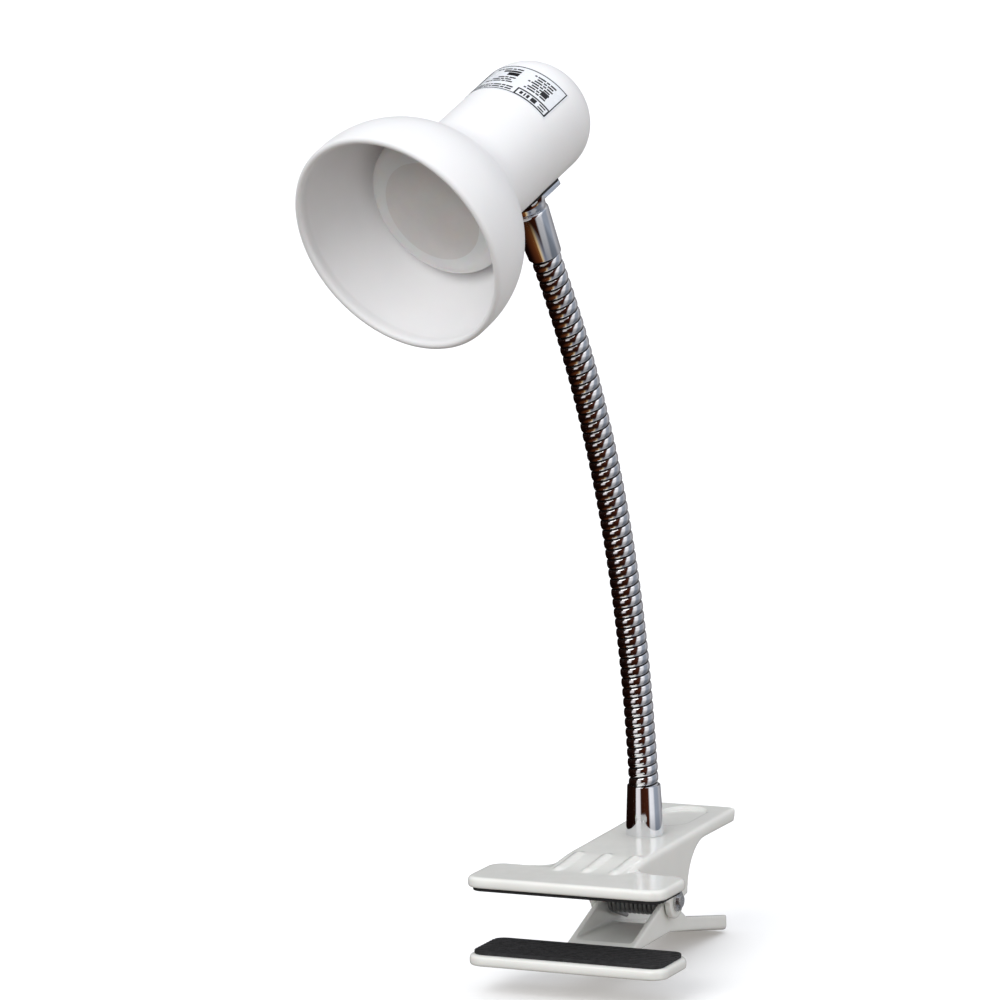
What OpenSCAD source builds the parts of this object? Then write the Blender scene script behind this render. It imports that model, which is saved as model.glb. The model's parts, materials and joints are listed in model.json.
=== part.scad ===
// Clip-on reading lamp: a spring clamp, a bendable gooseneck and a bell shade on a swivel.
// Origin: centre of the upper pad's bearing face. X across the clamp, Y to the handles, Z up.

/* [Clamp] */
// Width of the jaw bars, ear to ear
bar_w = 70; // [56:1:86]
// Front-to-back length of the jaw bars
bar_l = 24.5; // [18:0.5:30]
// Thickness of the jaw bars
bar_t = 3.6; // [2.8:0.2:5]
// Corner radius of the jaw bars, seen from above
bar_corner = 5.5; // [2:0.5:9]
// Width of the deck behind the bar
deck_w = 29.2; // [27:0.2:36]
// Distance from the front edge to the neck's axis
front_reach = 70; // [60:1:86]
// Distance from the neck's axis to the end of the handle
handle_reach = 46; // [38:1:58]
// Height of the deck above the top of the front bar, at the neck
deck_rise = 2.4; // [1:0.2:6]
// Slope of the deck, up towards the handle
deck_slope = 1.3; // [0:0.1:4]
// Wall thickness of the two jaw mouldings
jaw_wall = 2.2; // [1.6:0.1:3]
// Thickness of the board that the clamp is open on
board_t = 20; // [14:1:26]
// Thickness of the rubber pads
pad_t = 1.2; // [0.8:0.1:2.4]
// Margin of the pads inside the bars' edges
pad_inset = 1.6; // [0.6:0.2:4]

/* [Clamp details] */
// Width of a grip rib on the ramp
rib_w = 3.2; // [2:0.2:5]
// Distance between the ribs
rib_gap = 10; // [7:0.5:11]
// Length of a rib
rib_l = 26; // [14:1:30]
// Width of the thumb recess
recess_w = 15; // [8:0.5:19]
// Length of the thumb recess
recess_l = 28; // [20:1:34]
// Depth of the thumb recess
recess_d = 1; // [0.4:0.1:1.4]
// Radius of the cut under the handle
skirt_arc = 16; // [12:0.5:18]
// Height of the skirt along the handle
skirt_h = 4.4; // [3:0.2:6]

/* [Pivot and spring] */
// Distance of the pivot in front of the neck's axis
pivot_back = 8; // [5:0.5:12]
// Diameter of the pivot pin
pin_d = 4; // [3:0.1:5]
// Outer radius of the pivot lugs
lug_r = 6; // [5.4:0.1:7]
// Wire diameter of the clamp spring
wire_d = 1.6; // [1.2:0.1:2]
// Inner diameter of the spring's coil
coil_d = 7.6; // [6.4:0.1:9]
// Slope of the lower handle, down towards its end
grip_slope = 11.6; // [8:0.2:14]

/* [Neck] */
// Diameter of the gooseneck
neck_d = 10; // [8:0.2:11]
// Length of the gooseneck between the two sleeves
neck_l = 187.5; // [150:2.5:240]
// Number of rigid links that the gooseneck is divided into
links = 10; // [10:1:10]
// Forward lean of the gooseneck at its foot
foot_lean = 4.1; // [0:0.1:8]
// Forward lean of the gooseneck at its head
tip_lean = 23.4; // [0:0.1:40]
// Sideways lean of the gooseneck at its head
side_lean = 9.3; // [0:0.1:20]
// How late the bend comes along the gooseneck
bend_power = 1.3; // [1:0.1:2]
// Wall of the cups around the balls between the links
cup_wall = 0.75; // [0.5:0.05:1.2]
// Bore for the lead through the links
lead_d = 3.6; // [2.4:0.1:4]

/* [Sleeves] */
// Length of the sleeves at both ends of the gooseneck
sleeve_l = 17; // [12:0.5:24]
// Wall of a sleeve at its narrow end, around the gooseneck
sleeve_wall = 0.55; // [0.4:0.05:1]
// How much wider a sleeve is at its other end
sleeve_flare = 1.7; // [1:0.1:3]
// Step from the gooseneck in to the threaded nipple in the deck
nipple_step = 0.2; // [0.1:0.1:1]
// Step from the gooseneck in to the threaded nipple in the shade
swivel_step = 1; // [0.6:0.1:1.5]

/* [Shade] */
// Outer diameter of the shade at its rim
rim_d = 76.7; // [66:0.5:92]
// Outer diameter of the shade's neck
shade_neck_d = 39; // [37:0.5:46]
// Length of the shade from rim to dome
shade_l = 95.4; // [91:0.5:115]
// Length of the straight part behind the rim
rim_l = 4.9; // [2:0.1:8]
// Radius of the bell's outward curve
bell_r = 34.8; // [24:0.2:38]
// Radius of the inward curve where the bell meets the neck
throat_r = 15; // [10:0.2:18]
// Radius of the edge of the domed end
dome_r = 15.5; // [10:0.5:18]
// Wall thickness of the shade
shade_wall = 2; // [1.4:0.1:2.6]
// Distance from the rim to the axis of the stem
rim_reach = 64; // [60:0.5:72]
// Turn of the shade about the stem
head_turn = 7.5; // [-30:0.5:30]

/* [Saddle] */
// Length of the saddle along the shade
saddle_l = 15; // [13:0.5:18]
// Half of the angle that the saddle wraps around the shade
saddle_wrap = 37; // [26:1:45]
// Thickness of the saddle plate
saddle_t = 1.2; // [0.8:0.1:2]
// Height of the boss under the saddle plate
saddle_boss_h = 2.5; // [2:0.1:5]
// Thickness of the gasket under the saddle
gasket_t = 0.7; // [0.4:0.1:1.2]

/* [Bulb and socket] */
// Diameter of the bulb's face
bulb_d = 50; // [40:1:58]
// Depth of the bulb's face behind the rim
bulb_depth = 22; // [16:0.5:26]
// Length of the bulb from its face to its contact
bulb_l = 65; // [60:0.5:66]
// Diameter of the bulb's screw cap
cap_d = 16.6; // [14:0.1:17]
// Length of the bulb's screw cap
cap_l = 16; // [12:0.5:18]
// Wall of the socket's body around its screw shell
socket_wall = 3.5; // [3:0.1:4]
// Width of the rating label along the shade
label_l = 16; // [8:0.5:16]
// Half of the angle that the label wraps around the shade
label_wrap = 64; // [20:1:80]

/* [Hidden] */
$fn = 48;

// Clearances
run_gap = 0.05;       // radial clearance of a running fit
side_gap = 0.4;       // between the two jaws' cheeks
turn_gap = 0.15;      // between the sleeve's end and the saddle's boss
eps = 0.01;           // overshoot of a cut

// Finishes
ivory = [0.88, 0.88, 0.85];
white = [0.95, 0.95, 0.95];
chrome = [0.78, 0.79, 0.8];
steel = [0.62, 0.63, 0.65];
rubber = [0.08, 0.08, 0.08];
brass = [0.75, 0.62, 0.32];
glass = [0.97, 0.96, 0.93];
moulding = [0.9, 0.88, 0.82];

// ---- Places in the clamp. Its frame stands on the deck, at the foot of the neck. ----
neck_y = front_reach - bar_l / 2;
bar_top = -deck_rise;
bar_bottom = bar_top - bar_t;
deck_z = pad_t - bar_bottom;
bar_rear = bar_l - front_reach;
ramp_front = bar_rear - 7;
ramp_rear = bar_rear + 15.5;
lower_pad_top = bar_bottom - pad_t - board_t;
lower_bar_top = lower_pad_top - pad_t;
pivot_z = bar_bottom - pad_t - 0.64 * board_t;
nipple_d = neck_d - 2 * nipple_step;
boss_r = nipple_d / 2 + 4.7;
boss_t = 0.8;
boss_bottom = -jaw_wall - boss_t;
cheek_w = deck_w - 2 * jaw_wall - 2 * side_gap;
cheek_t = 2;
nut_af = nipple_d + 3.4;
nut_h = 3.5;
washer_t = 0.8;
pin_head_r = pin_d / 2 + 1.5;
pin_head_t = 1.2;
clip_t = 0.8;
coil_r = (coil_d + wire_d) / 2;
coil_pitch = wire_d - 0.1;
coil_turns = floor((cheek_w - 2 * cheek_t - wire_d - 1) / coil_pitch);
coil_half = coil_turns * coil_pitch / 2;

// ---- Places in the neck ----
link_l = neck_l / links;
ball_r = neck_d / 2 - cup_wall - run_gap;
cup_depth = 1.1;
shoulder = 3.6;
waist_r = lead_d / 2 + 1.2;
sleeve_narrow_d = neck_d + 2 * sleeve_wall;
sleeve_wide_d = sleeve_narrow_d + sleeve_flare;
seat_z = 6;

// ---- Places in the head. Its frame stands on the end of the top sleeve, X towards the rim. ----
end_wall = 2.4;
collar_t = 1.5;
swivel_washer_t = 0.5;
swivel_d = neck_d - 2 * swivel_step;
neck_r = shade_neck_d / 2;
shade_lift = neck_r + gasket_t + saddle_t + saddle_boss_h;
inner_boss_r = swivel_d / 2 + 4.6;
inner_r = neck_r - shade_wall;
inner_boss_z = shade_lift - sqrt(inner_r * inner_r - inner_boss_r * inner_boss_r) + 0.4;
strap_t = 0.9;
head_washer_t = 0.7;
head_nut_h = 3;
head_nut_af = swivel_d + 3.5;
swivel_top = inner_boss_z + strap_t + head_washer_t + head_nut_h + 0.5;

// ---- Places along the shade's axis, from the rim plane to the dome. ----
rim_r = rim_d / 2;
bell_angle = acos(1 - (rim_r - neck_r) / (bell_r + throat_r));
throat_end = rim_l + (bell_r + throat_r) * sin(bell_angle);
arc_steps = 16;
bulb_end = bulb_depth + bulb_l;
cap_front = bulb_end - cap_l - 3;
socket_front = rim_reach + inner_boss_r + 1;
socket_back = shade_l - shade_wall - 2.6;
socket_waist = socket_back - 6;
socket_floor = 1.6;
shell_r = cap_d / 2 + 0.3;
shell_t = 0.4;
socket_d = 2 * (shell_r + shell_t + socket_wall);
ring_t = 1;
screw_ring = (socket_d / 2 + shell_r + shell_t + 0.3) / 2;

// ---- Shared shapes and frames ----
function unit(v) = v / norm(v);
function blend(a, b, u) = a + (b - a) * pow(u, bend_power);
function neck_dir(u) = unit([
    -blend(0.014, tan(side_lean), u),
    -blend(tan(foot_lean), tan(tip_lean), u),
    1
]);
foot = [0, neck_y - sleeve_l * sin(deck_slope), deck_z + sleeve_l * cos(deck_slope)];
function joint_at(i) = i == 0 ? foot : joint_at(i - 1) + link_l * neck_dir((i - 0.5) / links);
tip_dir = neck_dir(1);
tip = joint_at(links) + sleeve_l * tip_dir;

module aim(place, dir) {
    translate(place) rotate([0, acos(dir[2]), atan2(dir[1], dir[0])]) children();
}

module clamp_frame() {
    translate([0, neck_y, deck_z]) children();
}

module base_frame() {
    clamp_frame() rotate([deck_slope, 0, 0]) children();
}

module head_frame() {
    aim(tip, tip_dir) rotate([0, 0, head_turn]) children();
}

module shade_frame() {
    head_frame() translate([rim_reach, 0, shade_lift]) rotate([0, -90, 0]) children();
}

// A side view, in Y and Z, given the width w about x
module side_view(w, x = 0) {
    translate([x - w / 2, 0, 0]) rotate([90, 0, 90]) linear_extrude(w) children();
}

module rounded_rect(w, l, r) {
    square([w - 2 * r, l], center = true);
    square([w, l - 2 * r], center = true);
    for (sx = [-1, 1], sy = [-1, 1])
        translate([sx * (w / 2 - r), sy * (l / 2 - r)]) circle(r);
}

module tube(r_out, r_in, z0, z1) {
    difference() {
        translate([0, 0, z0]) cylinder(r = r_out, h = z1 - z0);
        translate([0, 0, z0 - eps]) cylinder(r = r_in, h = z1 - z0 + 2 * eps);
    }
}

module hex_nut(af, r_in, z0, h) {
    difference() {
        translate([0, 0, z0]) cylinder(r = af / 2 / cos(30), h = h, $fn = 6);
        translate([0, 0, z0 - eps]) cylinder(r = r_in, h = h + 2 * eps);
    }
}

// ---- Clamp ----
module jaw_bar(z_top) {
    translate([0, bar_rear - bar_l / 2, z_top - bar_t])
        linear_extrude(bar_t) rounded_rect(bar_w, bar_l, bar_corner);
}

module pad(z0) {
    translate([0, bar_rear - bar_l / 2, z0]) linear_extrude(pad_t)
        rounded_rect(bar_w - 2 * pad_inset, bar_l - 2 * pad_inset, bar_corner - pad_inset);
}

function deck_top(y) = y * tan(deck_slope);

module deck_profile() {
    polygon([
        [ramp_front, bar_top],
        [ramp_rear, deck_top(ramp_rear)],
        [handle_reach, deck_top(handle_reach)],
        [handle_reach, deck_top(handle_reach) - jaw_wall],
        [ramp_rear, deck_top(ramp_rear) - jaw_wall],
        [ramp_front, bar_top - jaw_wall]
    ]);
}

module skirt_profile() {
    arc_y = skirt_arc + 1.5;
    arc_z = deck_top(0) - skirt_h + 1 - skirt_arc;
    front_y = bar_rear + 4;
    difference() {
        polygon(concat(
            [[front_y, bar_bottom + 0.8], [front_y, bar_top], [ramp_rear, deck_top(ramp_rear) - eps],
             [handle_reach, deck_top(handle_reach) - eps],
             [handle_reach, deck_top(handle_reach) - skirt_h]],
            [for (q = [90 : 7.5 : 180]) [arc_y + skirt_arc * cos(q), arc_z + skirt_arc * sin(q)]],
            [[-pivot_back + lug_r, pivot_z], [-pivot_back - lug_r, pivot_z]]
        ));
        translate([-pivot_back, pivot_z]) circle(pin_d / 2);
    }
    difference() {
        translate([-pivot_back, pivot_z]) circle(lug_r);
        translate([-pivot_back, pivot_z]) circle(pin_d / 2);
    }
}

module handle_plan() {
    reach = handle_reach - bar_rear + 10;
    translate([0, handle_reach - reach / 2, -60]) linear_extrude(120)
        rounded_rect(deck_w, reach, 4);
}

module grip_rib() {
    rise = atan2(deck_top(ramp_rear) - bar_top, ramp_rear - ramp_front);
    translate([0, ramp_front, bar_top - rib_w / 4]) rotate([rise - 90, 0, 0]) {
        cylinder(d = rib_w, h = rib_l);
        sphere(d = rib_w);
        translate([0, 0, rib_l]) sphere(d = rib_w);
    }
}

module thumb_recess() {
    span = recess_l - recess_w;
    translate([0, handle_reach - 4 - recess_l / 2, deck_top(handle_reach - 4 - recess_l / 2)])
        rotate([deck_slope, 0, 0]) translate([0, 0, -recess_d]) linear_extrude(10) {
            square([recess_w, span], center = true);
            for (s = [-1, 1]) translate([0, s * span / 2]) circle(d = recess_w);
        }
}

module upper_jaw() {
    color(ivory) clamp_frame() difference() {
        union() {
            jaw_bar(bar_top);
            intersection() {
                union() {
                    side_view(deck_w) deck_profile();
                    for (s = [-1, 1]) side_view(jaw_wall, s * (deck_w - jaw_wall) / 2) skirt_profile();
                    translate([-deck_w / 2, handle_reach - jaw_wall, deck_top(handle_reach) - skirt_h])
                        cube([deck_w, jaw_wall, skirt_h - eps]);
                }
                handle_plan();
            }
            for (i = [-1 : 1]) translate([i * rib_gap, 0, 0]) grip_rib();
            rotate([deck_slope, 0, 0]) translate([0, 0, boss_bottom])
                cylinder(r = boss_r, h = boss_t + jaw_wall / 2);
        }
        rotate([deck_slope, 0, 0]) translate([0, 0, boss_bottom - 1])
            cylinder(d = nipple_d + 2 * run_gap, h = jaw_wall + boss_t + 2);
        thumb_recess();
    }
}

module upper_pad() {
    color(rubber) clamp_frame() pad(bar_bottom - pad_t);
}

grip_start = bar_rear + 38;
grip_end = handle_reach - 2;
function grip_top(y) = lower_bar_top - 0.4 - max(0, y - grip_start) * tan(grip_slope);

module grip_profile() {
    polygon([
        [ramp_front, lower_bar_top],
        [grip_start, grip_top(grip_start)],
        [grip_end, grip_top(grip_end)],
        [grip_end, grip_top(grip_end) - jaw_wall],
        [grip_start, grip_top(grip_start) - jaw_wall],
        [ramp_front, lower_bar_top - jaw_wall]
    ]);
}

module cheek_profile() {
    flange = 3;
    difference() {
        union() {
            translate([-pivot_back, pivot_z]) circle(lug_r - 0.5);
            polygon([
                [bar_rear + 6, lower_bar_top - 1],
                [-pivot_back - lug_r + 1, pivot_z],
                [-pivot_back + lug_r - 1, pivot_z],
                [grip_start + 14, grip_top(grip_start + 14) + flange],
                [grip_end, grip_top(grip_end) + flange],
                [grip_end, grip_top(grip_end) - 1],
                [grip_start, grip_top(grip_start) - 1]
            ]);
        }
        translate([-pivot_back, pivot_z]) circle(pin_d / 2 + run_gap);
    }
}

module lower_jaw() {
    color(ivory) clamp_frame() {
        jaw_bar(lower_bar_top);
        side_view(cheek_w) grip_profile();
        for (s = [-1, 1]) side_view(cheek_t, s * (cheek_w - cheek_t) / 2) cheek_profile();
    }
}

module lower_pad() {
    color(rubber) clamp_frame() pad(lower_bar_top);
}

// Frame on the pivot, Z along the pin
module pivot_frame() {
    clamp_frame() translate([0, -pivot_back, pivot_z]) rotate([0, 90, 0]) children();
}

module pivot_pin() {
    half = deck_w / 2;
    color(steel) pivot_frame() difference() {
        union() {
            translate([0, 0, -half - pin_head_t]) cylinder(r = pin_head_r, h = pin_head_t);
            translate([0, 0, -half]) cylinder(d = pin_d, h = deck_w + clip_t + 1);
        }
        tube(pin_d, pin_d / 2 - 0.4, half, half + clip_t);
    }
}

module pivot_clip() {
    half = deck_w / 2;
    color(steel) pivot_frame() difference() {
        tube(pin_head_r, pin_d / 2 - 0.4, half, half + clip_t);
        translate([0, -0.5, half - eps]) cube([pin_head_r + 1, 1, clip_t + 2 * eps]);
    }
}

leg_rise = 25;
leg_fall = 20;
leg_gap = 0.4;

// A straight leg that leaves the coil's rim at angle a; side 1 from its top, -1 from its foot
module wire_leg(a, side, x, len) {
    clamp_frame() translate([x, -pivot_back - side * coil_r * sin(a), pivot_z + side * coil_r * cos(a)])
        rotate([a - 90, 0, 0]) {
            cylinder(d = wire_d, h = len, $fn = 24);
            sphere(d = wire_d, $fn = 24);
        }
}

module clamp_spring() {
    gap = -jaw_wall - wire_d / 2 - pivot_z - coil_r * cos(leg_rise);
    color(steel) union() {
        pivot_frame() rotate_extrude() polygon(concat(
            [[coil_d / 2, -coil_half + coil_pitch / 2], [coil_d / 2, coil_half + coil_pitch / 2]],
            [for (i = [2 * coil_turns : -1 : 0])
                [coil_d / 2 + wire_d - (i % 2 == 0 ? 0.45 : 0), -coil_half + (i + 1) * coil_pitch / 2]]
        ));
        wire_leg(leg_rise, 1, coil_half, gap / sin(leg_rise) - 1);
    }
}

module spring_leg() {
    drop = pivot_z - coil_r * cos(leg_fall) - wire_d / 2 - lower_bar_top;
    x = -coil_half - leg_gap;
    color(steel) union() {
        pivot_frame() translate([0, 0, x]) rotate_extrude()
            translate([coil_r, 0]) circle(d = wire_d - 0.3, $fn = 24);
        wire_leg(-leg_fall, -1, x, drop / sin(leg_fall) + 3);
    }
}

// ---- Foot of the neck ----
module base_sleeve() {
    color(chrome) base_frame() difference() {
        cylinder(d1 = sleeve_wide_d, d2 = sleeve_narrow_d, h = sleeve_l);
        translate([0, 0, -eps]) cylinder(d = nipple_d + 2 * run_gap, h = seat_z + 2 * eps);
        translate([0, 0, seat_z]) cylinder(d = neck_d + 2 * run_gap, h = sleeve_l);
    }
}

module base_nipple() {
    color(brass) base_frame()
        tube(nipple_d / 2, lead_d / 2 + 1.4, boss_bottom - washer_t - nut_h - 1.5, seat_z);
}

module base_washer() {
    color(steel) base_frame()
        tube(boss_r - 1, nipple_d / 2 + run_gap, boss_bottom - washer_t, boss_bottom);
}

module base_nut() {
    color(steel) base_frame()
        hex_nut(nut_af, nipple_d / 2, boss_bottom - washer_t - nut_h, nut_h);
}

module lead_bush() {
    end_z = boss_bottom - washer_t - nut_h - 1.5;
    color(rubber) base_frame() {
        tube(lead_d / 2 + 1.4, lead_d / 2, end_z, end_z + 6);
        tube(nipple_d / 2 + 0.6, lead_d / 2, end_z - 1.2, end_z);
    }
}

// ---- Gooseneck: rigid links on ball joints ----
module link_ball() {
    difference() {
        union() {
            sphere(r = ball_r);
            translate([0, 0, -shoulder - 1]) cylinder(r = waist_r, h = shoulder);
        }
        translate([0, 0, -shoulder - 2]) cylinder(d = lead_d, h = shoulder + 2 + ball_r);
    }
}

module link_barrel(z0, z1) {
    difference() {
        translate([0, 0, z0]) cylinder(d = neck_d, h = z1 - z0);
        translate([0, 0, z0 - eps]) cylinder(d = lead_d, h = z1 - z0 + 2 * eps);
    }
}

module link_cup(z1) {
    difference() {
        translate([0, 0, -cup_depth]) cylinder(d = neck_d, h = z1 + cup_depth);
        sphere(r = ball_r + run_gap);
        translate([0, 0, -eps]) cylinder(d = lead_d, h = z1 + 2 * eps);
    }
}

// Plug of an end link inside its sleeve, a little slimmer than the neck
module link_plug(z0, z1) {
    difference() {
        translate([0, 0, z0]) cylinder(d = neck_d - 0.4, h = z1 - z0);
        translate([0, 0, z0 - eps]) cylinder(d = lead_d + 0.8, h = z1 - z0 + 2 * eps);
    }
}

// Link k runs from joint k - 1 to joint k; the end links are seated in the sleeves
module neck_link(k) {
    color(chrome) {
        aim(joint_at(k - 1), neck_dir((k - 0.5) / links)) {
            if (k > 1) link_cup(link_l / 2);
            if (k < links) translate([0, 0, link_l]) link_ball();
            link_barrel(k > 1 ? link_l / 2 : 0, k < links ? link_l - shoulder : link_l);
        }
        if (k == 1) base_frame() link_plug(seat_z, sleeve_l + 1);
        if (k == links) aim(tip, tip_dir) link_plug(-sleeve_l - 1, -sleeve_l + 8);
    }
}
module neck_link_1() { neck_link(1); }
module neck_link_2() { neck_link(2); }
module neck_link_3() { neck_link(3); }
module neck_link_4() { neck_link(4); }
module neck_link_5() { neck_link(5); }
module neck_link_6() { neck_link(6); }
module neck_link_7() { neck_link(7); }
module neck_link_8() { neck_link(8); }
module neck_link_9() { neck_link(9); }
module neck_link_10() { neck_link(10); }

// ---- Swivel ----
module top_sleeve() {
    round_h = 1.6;
    color(chrome) head_frame() difference() {
        union() {
            translate([0, 0, -sleeve_l])
                cylinder(d1 = sleeve_narrow_d, d2 = sleeve_wide_d, h = sleeve_l - round_h);
            translate([0, 0, -round_h])
                cylinder(d1 = sleeve_wide_d, d2 = sleeve_wide_d - 2, h = round_h);
        }
        translate([0, 0, -sleeve_l - eps])
            cylinder(d = neck_d + 2 * run_gap, h = sleeve_l - end_wall + eps);
        translate([0, 0, -end_wall - eps]) cylinder(d = swivel_d + 2 * run_gap, h = end_wall + 1);
    }
}

module swivel_washer() {
    color(steel) head_frame() tube(neck_d / 2 - 0.3, swivel_d / 2 + run_gap,
        -end_wall - swivel_washer_t - run_gap, -end_wall - run_gap);
}

module swivel_nipple() {
    collar_top = -end_wall - swivel_washer_t - 2 * run_gap;
    color(brass) head_frame() difference() {
        union() {
            translate([0, 0, collar_top - collar_t]) cylinder(d = neck_d - 0.4, h = collar_t);
            translate([0, 0, collar_top - eps]) cylinder(d = swivel_d, h = swivel_top - collar_top);
        }
        translate([0, 0, collar_top - collar_t - 1])
            cylinder(d = lead_d + 1, h = swivel_top - collar_top + collar_t + 2);
    }
}

// ---- Saddle ----
module curved_plate(r_in, t, l, wrap) {
    translate([-l / 2, 0, shade_lift]) rotate([0, 90, 0]) rotate([0, 0, -wrap])
        rotate_extrude(angle = 2 * wrap, $fn = 96) translate([r_in, 0]) square([t, l]);
}

module saddle() {
    plate_r = neck_r + gasket_t;
    color(chrome) head_frame() difference() {
        union() {
            curved_plate(plate_r, saddle_t, saddle_l, saddle_wrap);
            difference() {
                translate([0, 0, turn_gap]) cylinder(d1 = sleeve_wide_d - 2, d2 = sleeve_wide_d - 1.4,
                    h = saddle_boss_h + saddle_t);
                translate([-saddle_l, 0, shade_lift]) rotate([0, 90, 0])
                    cylinder(r = plate_r + saddle_t / 2, h = 2 * saddle_l);
            }
        }
        translate([0, 0, -1]) cylinder(d = swivel_d, h = shade_lift);
    }
}

module saddle_gasket() {
    color(rubber) head_frame() difference() {
        curved_plate(neck_r, gasket_t, saddle_l + 1, saddle_wrap + 1.5);
        translate([0, 0, -1]) cylinder(d = swivel_d + 2 * run_gap, h = shade_lift);
    }
}

module head_washer() {
    z0 = inner_boss_z + strap_t;
    color(steel) head_frame() tube(inner_boss_r - 1.6, swivel_d / 2 + run_gap, z0, z0 + head_washer_t);
}

module head_nut() {
    color(steel) head_frame()
        hex_nut(head_nut_af, swivel_d / 2, inner_boss_z + strap_t + head_washer_t, head_nut_h);
}

// ---- Shade ----
// Outline of the shade from rim to dome, moved inwards by off, as [radius, distance] points
function shade_outline(off) = concat(
    [for (i = [0 : arc_steps]) let (q = bell_angle * i / arc_steps)
        [rim_r - bell_r + (bell_r - off) * cos(q), rim_l + (bell_r - off) * sin(q)]],
    [for (i = [1 : arc_steps]) let (q = bell_angle * (1 - i / arc_steps))
        [neck_r + throat_r - (throat_r + off) * cos(q), throat_end - (throat_r + off) * sin(q)]],
    [for (i = [0 : arc_steps]) let (q = 90 * i / arc_steps)
        [neck_r - dome_r + (dome_r - off) * cos(q), shade_l - dome_r + (dome_r - off) * sin(q)]]
);

module shade_shell() {
    outside = shade_outline(0);
    inside = shade_outline(shade_wall);
    last = len(inside) - 1;
    rotate_extrude($fn = 96) polygon(concat(
        [[rim_r - shade_wall, 0], [rim_r, 0]],
        outside,
        [[0, shade_l], [0, shade_l - shade_wall]],
        [for (i = [0 : last]) inside[last - i]]
    ));
}

module shade() {
    color(white) difference() {
        union() {
            shade_frame() shade_shell();
            head_frame() intersection() {
                translate([0, 0, gasket_t + saddle_boss_h]) cylinder(r = inner_boss_r,
                    h = inner_boss_z - gasket_t - saddle_boss_h);
                translate([-inner_boss_r - 1, 0, shade_lift]) rotate([0, 90, 0])
                    cylinder(r = neck_r - shade_wall / 2, h = 2 * inner_boss_r + 2);
            }
        }
        head_frame() translate([0, 0, -1]) cylinder(d = swivel_d + 2 * run_gap, h = shade_lift);
    }
}

module rating_label() {
    label_t = 0.15;
    color(white) shade_frame() translate([0, 0, rim_reach + 1.5]) rotate([0, 0, -label_wrap])
        rotate_extrude(angle = 2 * label_wrap, $fn = 96)
            translate([neck_r, 0]) square([label_t, label_l - 1]);
}

// ---- Socket and bulb ----
module socket_bracket() {
    ring_x = rim_reach - socket_front;
    strap_w = 12;
    color(steel) head_frame() difference() {
        union() {
            translate([ring_x, -strap_w / 2, inner_boss_z])
                cube([inner_boss_r - 2 - ring_x, strap_w, strap_t]);
            translate([ring_x, -strap_w / 2, inner_boss_z])
                cube([ring_t, strap_w, shade_lift - socket_d / 2 + 2 - inner_boss_z]);
            translate([ring_x, 0, shade_lift]) rotate([0, 90, 0]) cylinder(d = socket_d, h = ring_t);
        }
        translate([0, 0, inner_boss_z - 1]) cylinder(d = swivel_d + 2 * run_gap, h = 3);
        translate([ring_x - 1, 0, shade_lift]) rotate([0, 90, 0]) cylinder(r = shell_r, h = ring_t + 2);
        for (s = [-1, 1]) translate([ring_x - 1, s * screw_ring, shade_lift])
            rotate([0, 90, 0]) cylinder(d = 2, h = ring_t + 2);
    }
}

module bracket_screws() {
    color(steel) shade_frame() for (s = [-1, 1]) translate([0, s * screw_ring, 0]) {
        translate([0, 0, socket_front - ring_t - 1]) cylinder(d = 3.2, h = 1);
        translate([0, 0, socket_front - ring_t - eps]) cylinder(d = 2, h = ring_t + 6);
    }
}

module socket_body() {
    shell_out = shell_r + shell_t;
    color(moulding) shade_frame() difference() {
        union() {
            translate([0, 0, socket_front]) cylinder(d = socket_d, h = socket_waist - socket_front);
            translate([0, 0, socket_waist]) cylinder(d1 = socket_d, d2 = socket_d - 8,
                h = socket_back - socket_waist);
        }
        translate([0, 0, socket_front - eps])
            cylinder(r = shell_out, h = socket_back - socket_front - socket_floor + 2 * eps);
        for (s = [-1, 1]) translate([0, s * screw_ring, socket_front - eps]) cylinder(d = 2, h = 6);
    }
}

module socket_shell() {
    color(brass) shade_frame() tube(shell_r + shell_t, shell_r, socket_front, socket_back - 5);
}

module socket_contact() {
    floor_z = socket_back - socket_floor;
    color(brass) shade_frame() {
        translate([-3, -2, floor_z - 0.4]) cube([9, 4, 0.4]);
        translate([-3, -2, bulb_end]) cube([0.4, 4, floor_z - bulb_end]);
        translate([-3, -2, bulb_end]) cube([5, 4, 0.4]);
    }
}

module bulb_glass() {
    face_r = bulb_d / 2;
    neck = cap_d / 2 - 0.3;
    flare = 28;
    t = 0.8;
    function wall_at(u, off) = [
        neck - off + (face_r - neck) * pow(cos(90 * pow(u, 0.75)), 2),
        bulb_depth + 3 + flare * u
    ];
    color(glass) shade_frame() rotate_extrude($fn = 96) polygon(concat(
        [[0, bulb_depth]],
        [for (q = [0 : 15 : 90]) [face_r - 3 + 3 * sin(q), bulb_depth + 3 - 3 * cos(q)]],
        [for (i = [0 : 12]) wall_at(i / 12, 0)],
        [[neck, cap_front], [neck - t, cap_front]],
        [for (i = [0 : 12]) wall_at(1 - i / 12, t)],
        [[face_r - 3, bulb_depth + t + 0.4], [0, bulb_depth + t]]
    ));
}

module bulb_cap() {
    thread_t = 0.35;
    pitch = 2.8;
    turns = floor((cap_l - 3) / pitch);
    color(chrome) shade_frame() difference() {
        union() {
            translate([0, 0, cap_front]) cylinder(d = cap_d - 2 * thread_t, h = cap_l);
            for (i = [0 : turns - 1]) translate([0, 0, cap_front + 1.4 + i * pitch])
                rotate_extrude() translate([cap_d / 2 - thread_t - 0.2, 0]) circle(r = 0.55, $fn = 16);
        }
        translate([0, 0, cap_front - eps]) cylinder(d = cap_d - 2 * thread_t - 1, h = cap_l - 1);
    }
}

module bulb_contact() {
    color(rubber) shade_frame() translate([0, 0, cap_front + cap_l])
        cylinder(d1 = cap_d - 6, d2 = 4, h = bulb_end - cap_front - cap_l - 0.05);
}

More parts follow.
